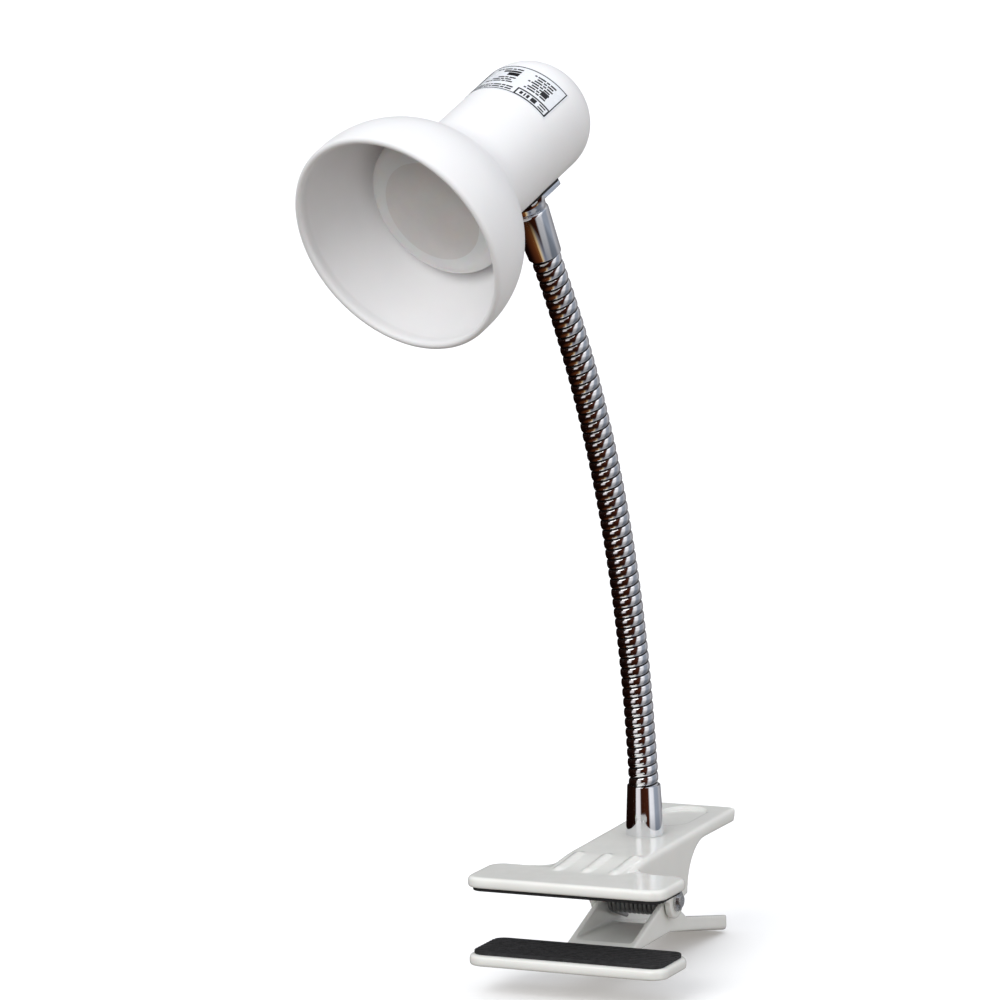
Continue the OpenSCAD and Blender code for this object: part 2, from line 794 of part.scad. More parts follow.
upper_jaw();
upper_pad();
lower_jaw();
lower_pad();
pivot_pin();
pivot_clip();
clamp_spring();
spring_leg();
base_sleeve();
base_nipple();
base_washer();
base_nut();
lead_bush();
neck_link_1();
neck_link_2();
neck_link_3();
neck_link_4();
neck_link_5();
neck_link_6();
neck_link_7();
neck_link_8();
neck_link_9();
neck_link_10();
top_sleeve();
swivel_washer();
swivel_nipple();
saddle();
saddle_gasket();
head_washer();
head_nut();
shade();
rating_label();
socket_bracket();
bracket_screws();
socket_body();
socket_shell();
socket_contact();
bulb_glass();
bulb_cap();
bulb_contact();
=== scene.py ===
"""Clip-on reading lamp: a spring clamp, a bendable gooseneck and a bell shade on a swivel.

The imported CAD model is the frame. Each sub-assembly below models its visible pieces around
it in millimetres, in its own frame, and sets them down in place in metres.
"""

import json
import logging
import math
from dataclasses import dataclass
from enum import Enum
from typing import Callable, Iterable, Optional, Sequence

import bmesh
import bpy
from mathutils import Matrix, Vector


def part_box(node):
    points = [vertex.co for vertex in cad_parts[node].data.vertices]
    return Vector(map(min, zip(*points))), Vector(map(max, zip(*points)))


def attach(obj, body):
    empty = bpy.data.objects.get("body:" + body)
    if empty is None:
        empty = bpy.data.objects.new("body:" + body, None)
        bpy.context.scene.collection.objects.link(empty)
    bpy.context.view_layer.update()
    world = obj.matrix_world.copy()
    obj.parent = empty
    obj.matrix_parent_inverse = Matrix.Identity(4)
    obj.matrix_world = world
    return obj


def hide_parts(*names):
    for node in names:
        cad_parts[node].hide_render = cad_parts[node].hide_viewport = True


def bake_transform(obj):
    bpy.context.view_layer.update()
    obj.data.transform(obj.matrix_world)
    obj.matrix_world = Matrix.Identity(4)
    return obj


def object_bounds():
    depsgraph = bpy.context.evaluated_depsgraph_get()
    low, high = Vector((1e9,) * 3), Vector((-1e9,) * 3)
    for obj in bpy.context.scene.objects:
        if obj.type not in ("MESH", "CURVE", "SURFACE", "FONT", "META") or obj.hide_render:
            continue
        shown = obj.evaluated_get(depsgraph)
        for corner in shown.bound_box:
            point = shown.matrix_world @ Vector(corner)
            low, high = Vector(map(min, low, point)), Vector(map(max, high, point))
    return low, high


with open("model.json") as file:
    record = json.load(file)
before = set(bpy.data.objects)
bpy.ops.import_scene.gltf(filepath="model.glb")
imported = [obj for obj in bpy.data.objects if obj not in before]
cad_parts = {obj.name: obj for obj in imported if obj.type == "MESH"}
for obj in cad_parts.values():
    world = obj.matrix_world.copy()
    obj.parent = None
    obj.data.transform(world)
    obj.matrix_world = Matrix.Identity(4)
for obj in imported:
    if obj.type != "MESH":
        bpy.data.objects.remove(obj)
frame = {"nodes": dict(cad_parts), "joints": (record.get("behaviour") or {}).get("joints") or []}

CAD_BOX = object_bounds()
MM = 0.001
LOG = logging.getLogger("lamp")

FLUSH = 0.01
CLEARANCE = 0.05
THREAD_R = 4.05

Point = Sequence[float]
Place = Matrix
Colour = tuple[float, float, float]
Line = list[tuple[float, float]]
Stops = Sequence[tuple[float, Point]]
Socket = bpy.types.NodeSocket
Edge = bmesh.types.BMEdge


# ---------------------------------------------------------------- workbench
def deselect_all() -> None:
    """Leaves edit mode and deselects every object."""
    if bpy.context.mode != "OBJECT":
        bpy.ops.object.mode_set(mode="OBJECT")
    bpy.ops.object.select_all(action="DESELECT")


def turn(degrees: float, axis: str) -> Matrix:
    """Returns a rotation about a main axis, as a 4x4 matrix."""
    return Matrix.Rotation(math.radians(degrees), 4, axis)


def shift(x: float = 0.0, y: float = 0.0, z: float = 0.0) -> Matrix:
    """Returns a move, as a 4x4 matrix."""
    return Matrix.Translation((x, y, z))


def arc(centre: Point, radius: float, start: float, end: float, steps: int) -> Line:
    """Points on an arc in a plane.

    Args:
        centre: The arc's centre, in the plane.
        radius: The arc's radius.
        start: The first point's angle, in degrees.
        end: The last point's angle, in degrees.
        steps: The number of steps between the two.

    Returns:
        The points from start to end.
    """
    angles = [math.radians(start + (end - start) * i / steps) for i in range(steps + 1)]
    return [(centre[0] + radius * math.cos(a), centre[1] + radius * math.sin(a)) for a in angles]


def ease(u: float) -> float:
    """Returns a smooth step from 0 to 1, for u from 0 to 1."""
    u = min(1.0, max(0.0, u))
    return u * u * (3 - 2 * u)


def upright(edge: Edge) -> bool:
    """Returns True for an edge that climbs by more than a millimetre."""
    return abs((edge.verts[0].co - edge.verts[1].co).z) > 1


def least_up(edge: Edge) -> float:
    """Returns how far up the lower-facing of an edge's faces points, from -1 to 1."""
    return min(face.normal.z for face in edge.link_faces)


def most_up(edge: Edge) -> float:
    """Returns how far up the upper-facing of an edge's faces points, from -1 to 1."""
    return max(face.normal.z for face in edge.link_faces)


def all_past(edge: Edge, axis: int, place: float) -> bool:
    """Returns True if both ends of an edge reach a place on an axis."""
    return all(v.co[axis] > place - FLUSH for v in edge.verts)


def all_below(edge: Edge, height: float) -> bool:
    """Returns True if neither end of an edge lies above a height."""
    return all(v.co.z < height + FLUSH for v in edge.verts)


class Cut(Enum):
    """What a second solid does to the first."""

    UNION = "UNION"
    DIFFERENCE = "DIFFERENCE"
    INTERSECT = "INTERSECT"


class Element(Enum):
    """What a selection is made of."""

    CORNER = "VERT"
    EDGE = "EDGE"
    FACE = "FACE"


class Blank:
    """A piece on the bench, in millimetres, that is shaped step by step."""

    def __init__(self, obj: bpy.types.Object) -> None:
        """Takes a new mesh object onto the bench."""
        self.obj = obj

    # -- starts
    @classmethod
    def cube(cls, lo: Point, hi: Point) -> "Blank":
        """A box between two corners.

        Args:
            lo: The lowest corner.
            hi: The highest corner.

        Returns:
            The blank.
        """
        deselect_all()
        middle = (Vector(lo) + Vector(hi)) / 2
        bpy.ops.mesh.primitive_cube_add(size=1, location=middle)
        obj = bpy.context.object
        obj.scale = Vector(hi) - Vector(lo)
        bpy.ops.object.transform_apply(location=True, rotation=True, scale=True)
        return cls(obj)

    @classmethod
    def cone(cls, r0: float, r1: float, z0: float, z1: float, steps: int = 64) -> "Blank":
        """A round bar along Z.

        Args:
            r0: Its radius at the foot.
            r1: Its radius at the top.
            z0: The height of its foot.
            z1: The height of its top.
            steps: The number of sides.

        Returns:
            The blank.
        """
        deselect_all()
        bpy.ops.mesh.primitive_cone_add(
            vertices=steps, radius1=r0, radius2=r1, depth=z1 - z0, location=(0, 0, (z0 + z1) / 2)
        )
        bpy.ops.object.transform_apply(location=True, rotation=True, scale=True)
        return cls(bpy.context.object)

    @classmethod
    def line(cls, points: Sequence[Point], closed: bool = False) -> "Blank":
        """A line drawn by extruding one point along the others.

        Args:
            points: The line's points.
            closed: True to join the last point to the first.

        Returns:
            The blank.
        """
        deselect_all()
        places = [Vector(p) for p in points]
        bpy.ops.mesh.primitive_plane_add(size=1, location=places[0])
        blank = cls(bpy.context.object)
        bpy.ops.object.transform_apply(location=True, rotation=True, scale=True)
        blank.edit(Element.CORNER)
        bpy.ops.mesh.merge(type="CENTER")
        for here, there in zip(places, places[1:]):
            bpy.ops.mesh.extrude_region_move(TRANSFORM_OT_translate={"value": there - here})
        if closed:
            blank.pick(Element.CORNER, lambda v: min((v.co - places[i]).length for i in (0, -1)) < 1e-4)
            bpy.ops.mesh.edge_face_add()
            bpy.ops.mesh.select_all(action="SELECT")
        return blank

    @classmethod
    def prism(cls, outline: Sequence[Point], x0: float, x1: float) -> "Blank":
        """A side outline, in Y and Z, given a width along X.

        Args:
            outline: The outline's (y, z) points.
            x0: The near side.
            x1: The far side.

        Returns:
            The blank.
        """
        blank = cls.line([(x0, y, z) for y, z in outline], closed=True)
        bpy.ops.mesh.edge_face_add()
        bpy.ops.mesh.extrude_region_move(TRANSFORM_OT_translate={"value": (x1 - x0, 0, 0)})
        return blank.mend()

    @classmethod
    def lathe(cls, profile: Sequence[Point], steps: int = 96, closed: bool = False) -> "Blank":
        """A profile, in radius and height, spun about Z.

        Args:
            profile: The (radius, height) points.
            steps: The number of steps round.
            closed: True to join the profile's last point to its first.

        Returns:
            The blank.
        """
        blank = cls.line([(r, 0, z) for r, z in profile], closed)
        return blank.sweep(steps, 360, (0, 0, 0), (0, 0, 1)).mend()

    # -- selecting
    def focus(self) -> None:
        """Leaves this object alone selected, and active."""
        deselect_all()
        self.obj.select_set(True)
        bpy.context.view_layer.objects.active = self.obj

    def edit(self, element: Element = Element.FACE) -> bmesh.types.BMesh:
        """Enters edit mode with all selected.

        Args:
            element: What is selected by.

        Returns:
            The mesh being edited.
        """
        if bpy.context.object is not self.obj or bpy.context.mode != "EDIT_MESH":
            self.focus()
            bpy.ops.object.mode_set(mode="EDIT")
        bpy.ops.mesh.select_mode(type=element.value)
        bpy.ops.mesh.select_all(action="SELECT")
        return bmesh.from_edit_mesh(self.obj.data)

    def pick(self, element: Element, test: Callable) -> int:
        """Selects the corners, edges or faces that pass a test.

        Args:
            element: Which of them.
            test: Says which to take.

        Returns:
            Their number.
        """
        mesh = self.edit(element)
        bpy.ops.mesh.select_all(action="DESELECT")
        items = {Element.CORNER: mesh.verts, Element.EDGE: mesh.edges, Element.FACE: mesh.faces}[element]
        found = [item for item in items if test(item)]
        for item in found:
            item.select = True
        mesh.select_flush_mode()
        bmesh.update_edit_mesh(self.obj.data)
        return len(found)

    # -- shaping
    def mend(self) -> "Blank":
        """Merges doubles, points every face outwards and returns the blank."""
        self.edit(Element.CORNER)
        bpy.ops.mesh.remove_doubles(threshold=1e-4)
        bpy.ops.mesh.normals_make_consistent(inside=False)
        return self

    def sweep(self, steps: int, degrees: float, centre: Point, axis: Point) -> "Blank":
        """Spins the whole blank's edges into faces.

        Args:
            steps: The number of steps.
            degrees: The angle, right-handed about the axis.
            centre: A point on the axis.
            axis: The axis's direction.

        Returns:
            The blank.
        """
        bpy.ops.mesh.select_all(action="SELECT")
        bpy.ops.mesh.spin(steps=steps, angle=-math.radians(degrees), center=centre, axis=axis)
        return self

    def round_edges(self, width: float, segments: int, test: Callable[[Edge], bool]) -> "Blank":
        """Bevels the edges that pass a test.

        Args:
            width: The bevel's width.
            segments: Its number of segments.
            test: Says which edges.

        Returns:
            The blank.
        """
        if self.pick(Element.EDGE, test):
            bpy.ops.mesh.bevel(offset=width, segments=segments, profile=0.5, affect="EDGES")
        return self

    def soften(self, width: float, segments: int) -> "Blank":
        """Bevels every sharp edge and returns the blank."""
        return self.modify("BEVEL", width=width, segments=segments, limit_method="ANGLE", angle_limit=math.radians(50))

    def slice(
        self, place: Point, normal: Point, drop_front: bool = False, drop_back: bool = False
    ) -> "Blank":
        """Cuts through the blank with a plane.

        Args:
            place: A point on the plane.
            normal: The plane's normal.
            drop_front: Drops what lies on the normal's side, and closes the cut.
            drop_back: Drops what lies behind, and closes the cut.

        Returns:
            The blank.
        """
        self.edit(Element.CORNER)
        bpy.ops.mesh.bisect(
            plane_co=place, plane_no=normal, use_fill=drop_front or drop_back,
            clear_outer=drop_front, clear_inner=drop_back,
        )
        return self

    def modify(self, kind: str, **settings: object) -> "Blank":
        """Adds a modifier and applies it.

        Args:
            kind: The modifier's type.
            **settings: Its settings.

        Returns:
            The blank.
        """
        self.focus()
        modifier = self.obj.modifiers.new(kind.lower(), kind)
        for key, value in settings.items():
            setattr(modifier, key, value)
        bpy.ops.object.modifier_apply(modifier=modifier.name)
        return self

    def with_solid(self, other: "Blank", cut: Cut) -> "Blank":
        """Adds, takes away or crosses another solid, which is used up.

        Args:
            other: The other solid.
            cut: What it does.

        Returns:
            The blank.
        """
        self.modify("BOOLEAN", operation=cut.value, object=other.obj, solver="EXACT")
        bpy.data.objects.remove(other.obj)
        return self

    def joined(self, others: Iterable["Blank"]) -> "Blank":
        """Joins other blanks into this one's mesh, as they are, and returns it."""
        self.focus()
        for other in others:
            other.obj.select_set(True)
        bpy.ops.object.join()
        return self

    def placed(self, place: Place) -> "Blank":
        """Moves the mesh by a matrix and returns the blank."""
        deselect_all()
        self.obj.data.transform(place)
        self.obj.data.update()
        return self

    def copy(self) -> "Blank":
        """Returns a copy with its own mesh."""
        self.focus()
        bpy.ops.object.duplicate(linked=False)
        return Blank(bpy.context.object)

    def painted(self, material: bpy.types.Material) -> "Blank":
        """Gives the whole blank one material and returns it."""
        self.obj.data.materials.clear()
        self.obj.data.materials.append(material)
        return self

    def zoned(self, material: bpy.types.Material, test: Callable[[Vector], bool]) -> "Blank":
        """Gives one more material to a part of the blank.

        Args:
            material: The material.
            test: Says which faces take it, by their middles.

        Returns:
            The blank.
        """
        self.obj.data.materials.append(material)
        if self.pick(Element.FACE, lambda f: test(f.calc_center_median())):
            self.obj.active_material_index = len(self.obj.data.materials) - 1
            bpy.ops.object.material_slot_assign()
        return self

    def moulded(self, grain: float, passes: int) -> "Blank":
        """Runs joined solids into one skin with small fillets, as a mould leaves them.

        Args:
            grain: The size of the skin's cells.
            passes: The number of smoothing passes.

        Returns:
            The blank.
        """
        self.modify("REMESH", mode="VOXEL", voxel_size=grain, use_smooth_shade=True)
        return self.modify("SMOOTH", factor=0.5, iterations=passes)

    def settled(self, name: str, place: Place, crease: float = 35.0) -> bpy.types.Object:
        """Sets the finished piece down in the shared frame, in metres.

        Args:
            name: The piece's name.
            place: Its place in the shared frame, in millimetres.
            crease: The angle past which an edge stays sharp, in degrees.

        Returns:
            The finished object.
        """
        self.placed(Matrix.Scale(MM, 4) @ place)
        self.obj.name = self.obj.data.name = name
        self.focus()
        bpy.ops.object.shade_smooth_by_angle(angle=math.radians(crease))
        deselect_all()
        tris = sum(len(p.vertices) - 2 for p in self.obj.data.polygons)
        LOG.info("%s: %d triangles", name, tris)
        return self.obj

    def fitted(self, name: str, place: Place, body: str, slot: str, *nodes: str, crease: float = 35.0) -> None:
        """Sets the finished piece down on one body, in the stead of its CAD nodes.

        Args:
            name: The piece's name.
            place: Its place in the shared frame, in millimetres.
            body: The body that it rides on.
            slot: Its material slot; not used.
            *nodes: The CAD nodes that it replaces.
            crease: The angle past which an edge stays sharp, in degrees.
        """
        obj = self.settled(name, place, crease)
        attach(obj, body)
        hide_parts(*nodes)


# ---------------------------------------------------------------- finishes
class Nodes:
    """A node tree, with short ways to add to it."""

    def __init__(self, tree: bpy.types.NodeTree) -> None:
        """Takes the tree."""
        self.tree = tree

    def plug(self, socket: Socket, value: object) -> None:
        """Links a socket to another one, or sets it to a plain value."""
        if isinstance(value, Socket):
            self.tree.links.new(value, socket)
        else:
            socket.default_value = value

    def add(self, kind: str, **inputs: object) -> bpy.types.Node:
        """Adds a node.

        Args:
            kind: The node's type.
            **inputs: Its inputs by name, with _ for a space; sockets are linked.

        Returns:
            The node.
        """
        node = self.tree.nodes.new(kind)
        for key, value in inputs.items():
            self.plug(node.inputs[key.replace("_", " ")], value)
        return node

    def ramp(self, fac: Socket, stops: Stops) -> Socket:
        """Returns a colour ramp over fac, from (place, colour) stops."""
        node = self.add("ShaderNodeValToRGB", Fac=fac)
        elements = node.color_ramp.elements
        while len(elements) < len(stops):
            elements.new(0.5)
        for element, (place, colour) in zip(elements, stops):
            element.position = place
            element.color = (*colour, 1)
        return node.outputs["Color"]

    def span(self, value: Socket, low: float, high: float, least: float = 0.0, most: float = 1.0) -> Socket:
        """Maps a range of values to another.

        Args:
            value: What is mapped.
            low: The value that gives the least.
            high: The value that gives the most.
            least: The least result.
            most: The greatest result.

        Returns:
            The mapped value.
        """
        node = self.add("ShaderNodeMapRange", Value=value, From_Min=low, From_Max=high, To_Min=least, To_Max=most)
        return node.outputs["Result"]

    def mix(self, kind: str, fac: object, one: Socket, two: Socket) -> Socket:
        """Mixes two colours.

        Args:
            kind: How they mix.
            fac: How much of the second, as a number or a socket.
            one: The first colour.
            two: The second colour.

        Returns:
            The mixed colour.
        """
        node = self.add("ShaderNodeMix")
        node.data_type, node.blend_type = "RGBA", kind
        colours = [socket for socket in node.inputs if socket.type == "RGBA"]
        for socket, value in zip((node.inputs["Factor"], *colours), (fac, one, two)):
            self.plug(socket, value)
        return next(socket for socket in node.outputs if socket.type == "RGBA")


class Finish(Nodes):
    """A material's node tree, with its patterns and its one principled shader."""

    def __init__(self, name: str) -> None:
        """Makes the material."""
        self.material = bpy.data.materials.new(name)
        self.material.use_nodes = True
        super().__init__(self.material.node_tree)
        self.shader = self.tree.nodes["Principled BSDF"]
        self.place = self.add("ShaderNodeTexCoord").outputs["Object"]

    def noise(self, size: float, detail: float = 3.0, rough: float = 0.5) -> Socket:
        """Returns a noise pattern whose lumps are about size millimetres."""
        node = self.add("ShaderNodeTexNoise", Vector=self.place, Scale=1 / (size * MM), Detail=detail, Roughness=rough)
        return node.outputs["Fac"]

    def ranged(self, fac: Socket, low: float, high: float) -> Socket:
        """Returns fac mapped from the middle of its range to low and high."""
        return self.span(fac, 0.3, 0.7, low, high)

    def bump(self, height: Socket, depth: float, under: Optional[Socket] = None) -> Socket:
        """Returns a normal with bumps depth millimetres high, over another normal if one is given."""
        node = self.add("ShaderNodeBump", Height=height, Strength=1.0, Distance=depth * MM)
        if under is not None:
            self.plug(node.inputs["Normal"], under)
        return node.outputs["Normal"]

    def set(self, **values: object) -> None:
        """Sets the shader's sockets, by name with _ for a space, or links patterns to them."""
        for key, value in values.items():
            self.plug(self.shader.inputs[key.replace("_", " ")], value)


def tint(colour: Point, factor: float) -> tuple[float, ...]:
    """Returns a colour made lighter or darker."""
    return tuple(min(1.0, c * factor) for c in colour)


@dataclass(frozen=True)
class Plastic:
    """A moulded plastic: slight flow marks, an orange peel and a gloss that varies a little."""

    name: str
    colour: Colour
    rough: tuple[float, float] = (0.3, 0.36)
    peel_size: float = 0.8
    peel_depth: float = 0.004
    mottle: float = 0.03
    coat: float = 0.0

    def material(self) -> bpy.types.Material:
        """Returns the material."""
        nodes = Finish(self.name)
        flow = nodes.noise(14, 4)
        nodes.set(Base_Color=nodes.ramp(flow, [
            (0.3, tint(self.colour, 1 - self.mottle)), (0.7, tint(self.colour, 1 + self.mottle / 2))]))
        nodes.set(Roughness=nodes.ranged(nodes.noise(5, 3), *self.rough))
        fine = nodes.bump(nodes.noise(self.peel_size * 0.25, 2), self.peel_depth * 0.4)
        nodes.set(Normal=nodes.bump(nodes.noise(self.peel_size, 1), self.peel_depth, fine))
        nodes.set(Metallic=0.0, IOR=1.49, Coat_Weight=self.coat, Coat_Roughness=0.08,
                  Subsurface_Weight=0.04, Subsurface_Scale=0.002)
        return nodes.material


@dataclass(frozen=True)
class Metal:
    """A metal or a plating: faint mottling of its colour, and smears in its polish."""

    name: str
    colour: Colour
    rough: tuple[float, float] = (0.06, 0.12)
    mottle: float = 0.05
    smear: float = 7.0
    grain_size: float = 0.12
    grain_depth: float = 0.0006
    spangle: float = 0.0

    def material(self) -> bpy.types.Material:
        """Returns the material."""
        nodes = Finish(self.name)
        nodes.set(Base_Color=nodes.ramp(nodes.noise(self.smear * 1.5, 4), [
            (0.3, tint(self.colour, 1 - self.mottle)), (0.7, tint(self.colour, 1 + self.mottle))]))
        nodes.set(Roughness=nodes.ranged(nodes.noise(self.smear, 5, 0.6), *self.rough))
        height = nodes.noise(self.grain_size, 2)
        if self.spangle:
            cells = nodes.add("ShaderNodeTexVoronoi", Vector=nodes.place, Scale=1 / (self.spangle * MM))
            height = cells.outputs["Distance"]
        nodes.set(Normal=nodes.bump(height, self.grain_depth))
        nodes.set(Metallic=1.0)
        return nodes.material


@dataclass(frozen=True)
class Rubber:
    """A matt rubber with a fine pitted skin and dust in it."""

    name: str
    colour: Colour = (0.018, 0.018, 0.019)
    pit_size: float = 0.35
    pit_depth: float = 0.03

    def material(self) -> bpy.types.Material:
        """Returns the material."""
        nodes = Finish(self.name)
        nodes.set(Base_Color=nodes.ramp(nodes.noise(2.5, 6, 0.65), [
            (0.35, self.colour), (0.75, tint(self.colour, 2.2))]))
        nodes.set(Roughness=nodes.ranged(nodes.noise(1.2, 3), 0.62, 0.8))
        nodes.set(Normal=nodes.bump(nodes.noise(self.pit_size, 2), self.pit_depth))
        nodes.set(Metallic=0.0, Specular_IOR_Level=0.35)
        return nodes.material


@dataclass(frozen=True)
class Frosted:
    """Glass frosted from inside: a smooth skin over a soft white coating that thins out in clouds."""

    name: str
    colour: Colour

    def material(self) -> bpy.types.Material:
        """Returns the material."""
        nodes = Finish(self.name)
        nodes.set(Base_Color=nodes.ramp(nodes.noise(9, 5, 0.6), [
            (0.3, tint(self.colour, 0.94)), (0.7, self.colour)]))
        nodes.set(Roughness=nodes.ranged(nodes.noise(0.5, 2), 0.3, 0.42))
        nodes.set(Normal=nodes.bump(nodes.noise(0.3, 2), 0.006))
        nodes.set(Metallic=0.0, IOR=1.5, Coat_Weight=0.5, Coat_Roughness=0.12,
                  Subsurface_Weight=0.35, Subsurface_Scale=0.004)
        return nodes.material


class Palette:
    """Every finish on the lamp, made once."""

    def __init__(self) -> None:
        """Makes the materials."""
        self.ivory = Plastic("ivory_moulding", (0.80, 0.80, 0.765), rough=(0.16, 0.24),
            peel_size=1.4, peel_depth=0.006, mottle=0.03, coat=0.35).material()
        self.white = Plastic("satin_white_shade", (0.86, 0.86, 0.865), rough=(0.40, 0.48),
            peel_size=0.7, peel_depth=0.006, mottle=0.015).material()
        self.cream = Plastic("socket_moulding", (0.62, 0.58, 0.48), rough=(0.35, 0.45),
            peel_size=0.9, peel_depth=0.01, mottle=0.05).material()
        self.film = Plastic("label_film", (0.84, 0.85, 0.88), rough=(0.22, 0.3),
            peel_size=2.5, peel_depth=0.004, mottle=0.02).material()
        self.ink = Plastic("label_ink", (0.012, 0.012, 0.014), rough=(0.4, 0.5),
            peel_size=0.5, peel_depth=0.004, mottle=0.1).material()
        self.insulator = Plastic("black_insulator", (0.02, 0.02, 0.025), rough=(0.2, 0.3),
            peel_size=0.9, peel_depth=0.006, mottle=0.1).material()
        self.chrome = Metal("chrome_sleeve", (0.78, 0.79, 0.81), rough=(0.05, 0.1)).material()
        self.hose = Metal("chrome_gooseneck", (0.76, 0.76, 0.77), rough=(0.08, 0.14),
            mottle=0.06, smear=4.0, grain_size=0.3, grain_depth=0.002).material()
        # Dark steel for the hose's groove bottoms: painted shade in the creases, plus oily dirt in the wound seam.
        self.seam = Metal("gooseneck_groove_grime_and_shade", (0.10, 0.095, 0.09), rough=(0.3, 0.45),
            mottle=0.2, smear=1.5, grain_size=0.2, grain_depth=0.003).material()
        self.pin = Metal("pin_steel", (0.56, 0.57, 0.58), rough=(0.2, 0.32),
            mottle=0.06, smear=3.0, grain_size=0.2, grain_depth=0.004).material()
        self.spring = Metal("spring_steel", (0.27, 0.27, 0.28), rough=(0.26, 0.4),
            mottle=0.12, smear=3.0, grain_size=0.2, grain_depth=0.004).material()
        self.brass = Metal("brass_thread", (0.72, 0.53, 0.25), rough=(0.2, 0.34),
            mottle=0.1, smear=2.5, grain_size=0.15, grain_depth=0.003).material()
        self.zinc = Metal("zinc_plating", (0.6, 0.62, 0.63), rough=(0.24, 0.38),
            mottle=0.1, smear=4.0, grain_size=0.3, grain_depth=0.006, spangle=1.1).material()
        self.cap = Metal("cap_aluminium", (0.7, 0.7, 0.7), rough=(0.2, 0.3),
            mottle=0.06, smear=3.0, grain_size=0.15, grain_depth=0.003).material()
        self.mirror = Metal("bulb_silvering", (0.72, 0.72, 0.73), rough=(0.25, 0.34),
            mottle=0.04, smear=6.0, grain_size=0.5, grain_depth=0.004).material()
        self.rubber = Rubber("pad_rubber").material()
        self.bush = Rubber("black_rubber", (0.02, 0.02, 0.021), pit_size=0.6, pit_depth=0.015).material()
        self.frost = Frosted("frosted_glass", (0.74, 0.705, 0.69)).material()
        # A lighter copy of the frosted glass: painted light on the bulb's rounded shoulder; the face keeps the darker
        # frost.
        self.lit_frost_edge = Frosted("frosted_shoulder_painted_light", (0.83, 0.82, 0.82)).material()


# ---------------------------------------------------------------- frames
@dataclass(frozen=True)
class Layout:
    """Places that the sub-assemblies share, in millimetres."""

    front_reach: float = 70.0
    bar_l: float = 24.5
    deck_slope: float = 1.3
    pivot_back: float = 8.0
    neck_d: float = 10.0
    sleeve_l: float = 17.0
    sleeve_wide_d: float = 12.8
    sleeve_narrow_d: float = 11.1
    rim_reach: float = 64.0
    shade_lift: float = 23.9
    head_turn: float = 7.5

    @property
    def clamp(self) -> Place:
        """The clamp's frame, on the deck at the foot of the neck."""
        tilt = self.sleeve_wide_d / 2 * math.tan(math.radians(self.deck_slope))
        return shift(0, self.front_reach - self.bar_l / 2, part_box("base_sleeve")[0].z / MM + tilt)

    @property
    def base(self) -> Place:
        """The clamp's frame, level with the deck."""
        return self.clamp @ turn(self.deck_slope, "X")

    @property
    def links(self) -> list[dict]:
        """The frame's records of the neck's joints, from the clamp to the head."""
        return [j for j in frame["joints"] if j["name"].startswith("neck")]

    @property
    def joints(self) -> list[Vector]:
        """The places of the neck's joints, in the same order."""
        return [Vector(j["pos_m"]) / MM for j in self.links]

    @property
    def head(self) -> Place:
        """The head's frame, on the end of the top sleeve, with X towards the rim."""
        swivel = next(j for j in frame["joints"] if j["name"] == "head_swivel")
        aim = Vector(swivel["axis"]).normalized()
        way = turn(math.degrees(math.atan2(aim.y, aim.x)), "Z")
        lean = turn(math.degrees(math.acos(aim.z)), "Y")
        return Matrix.Translation(Vector(swivel["pos_m"]) / MM) @ way @ lean @ turn(self.head_turn, "Z")

    @property
    def shade(self) -> Place:
        """The shade's frame, with Z along its axis from the rim to the dome."""
        return self.head @ shift(self.rim_reach, 0, self.shade_lift) @ turn(-90, "Y")


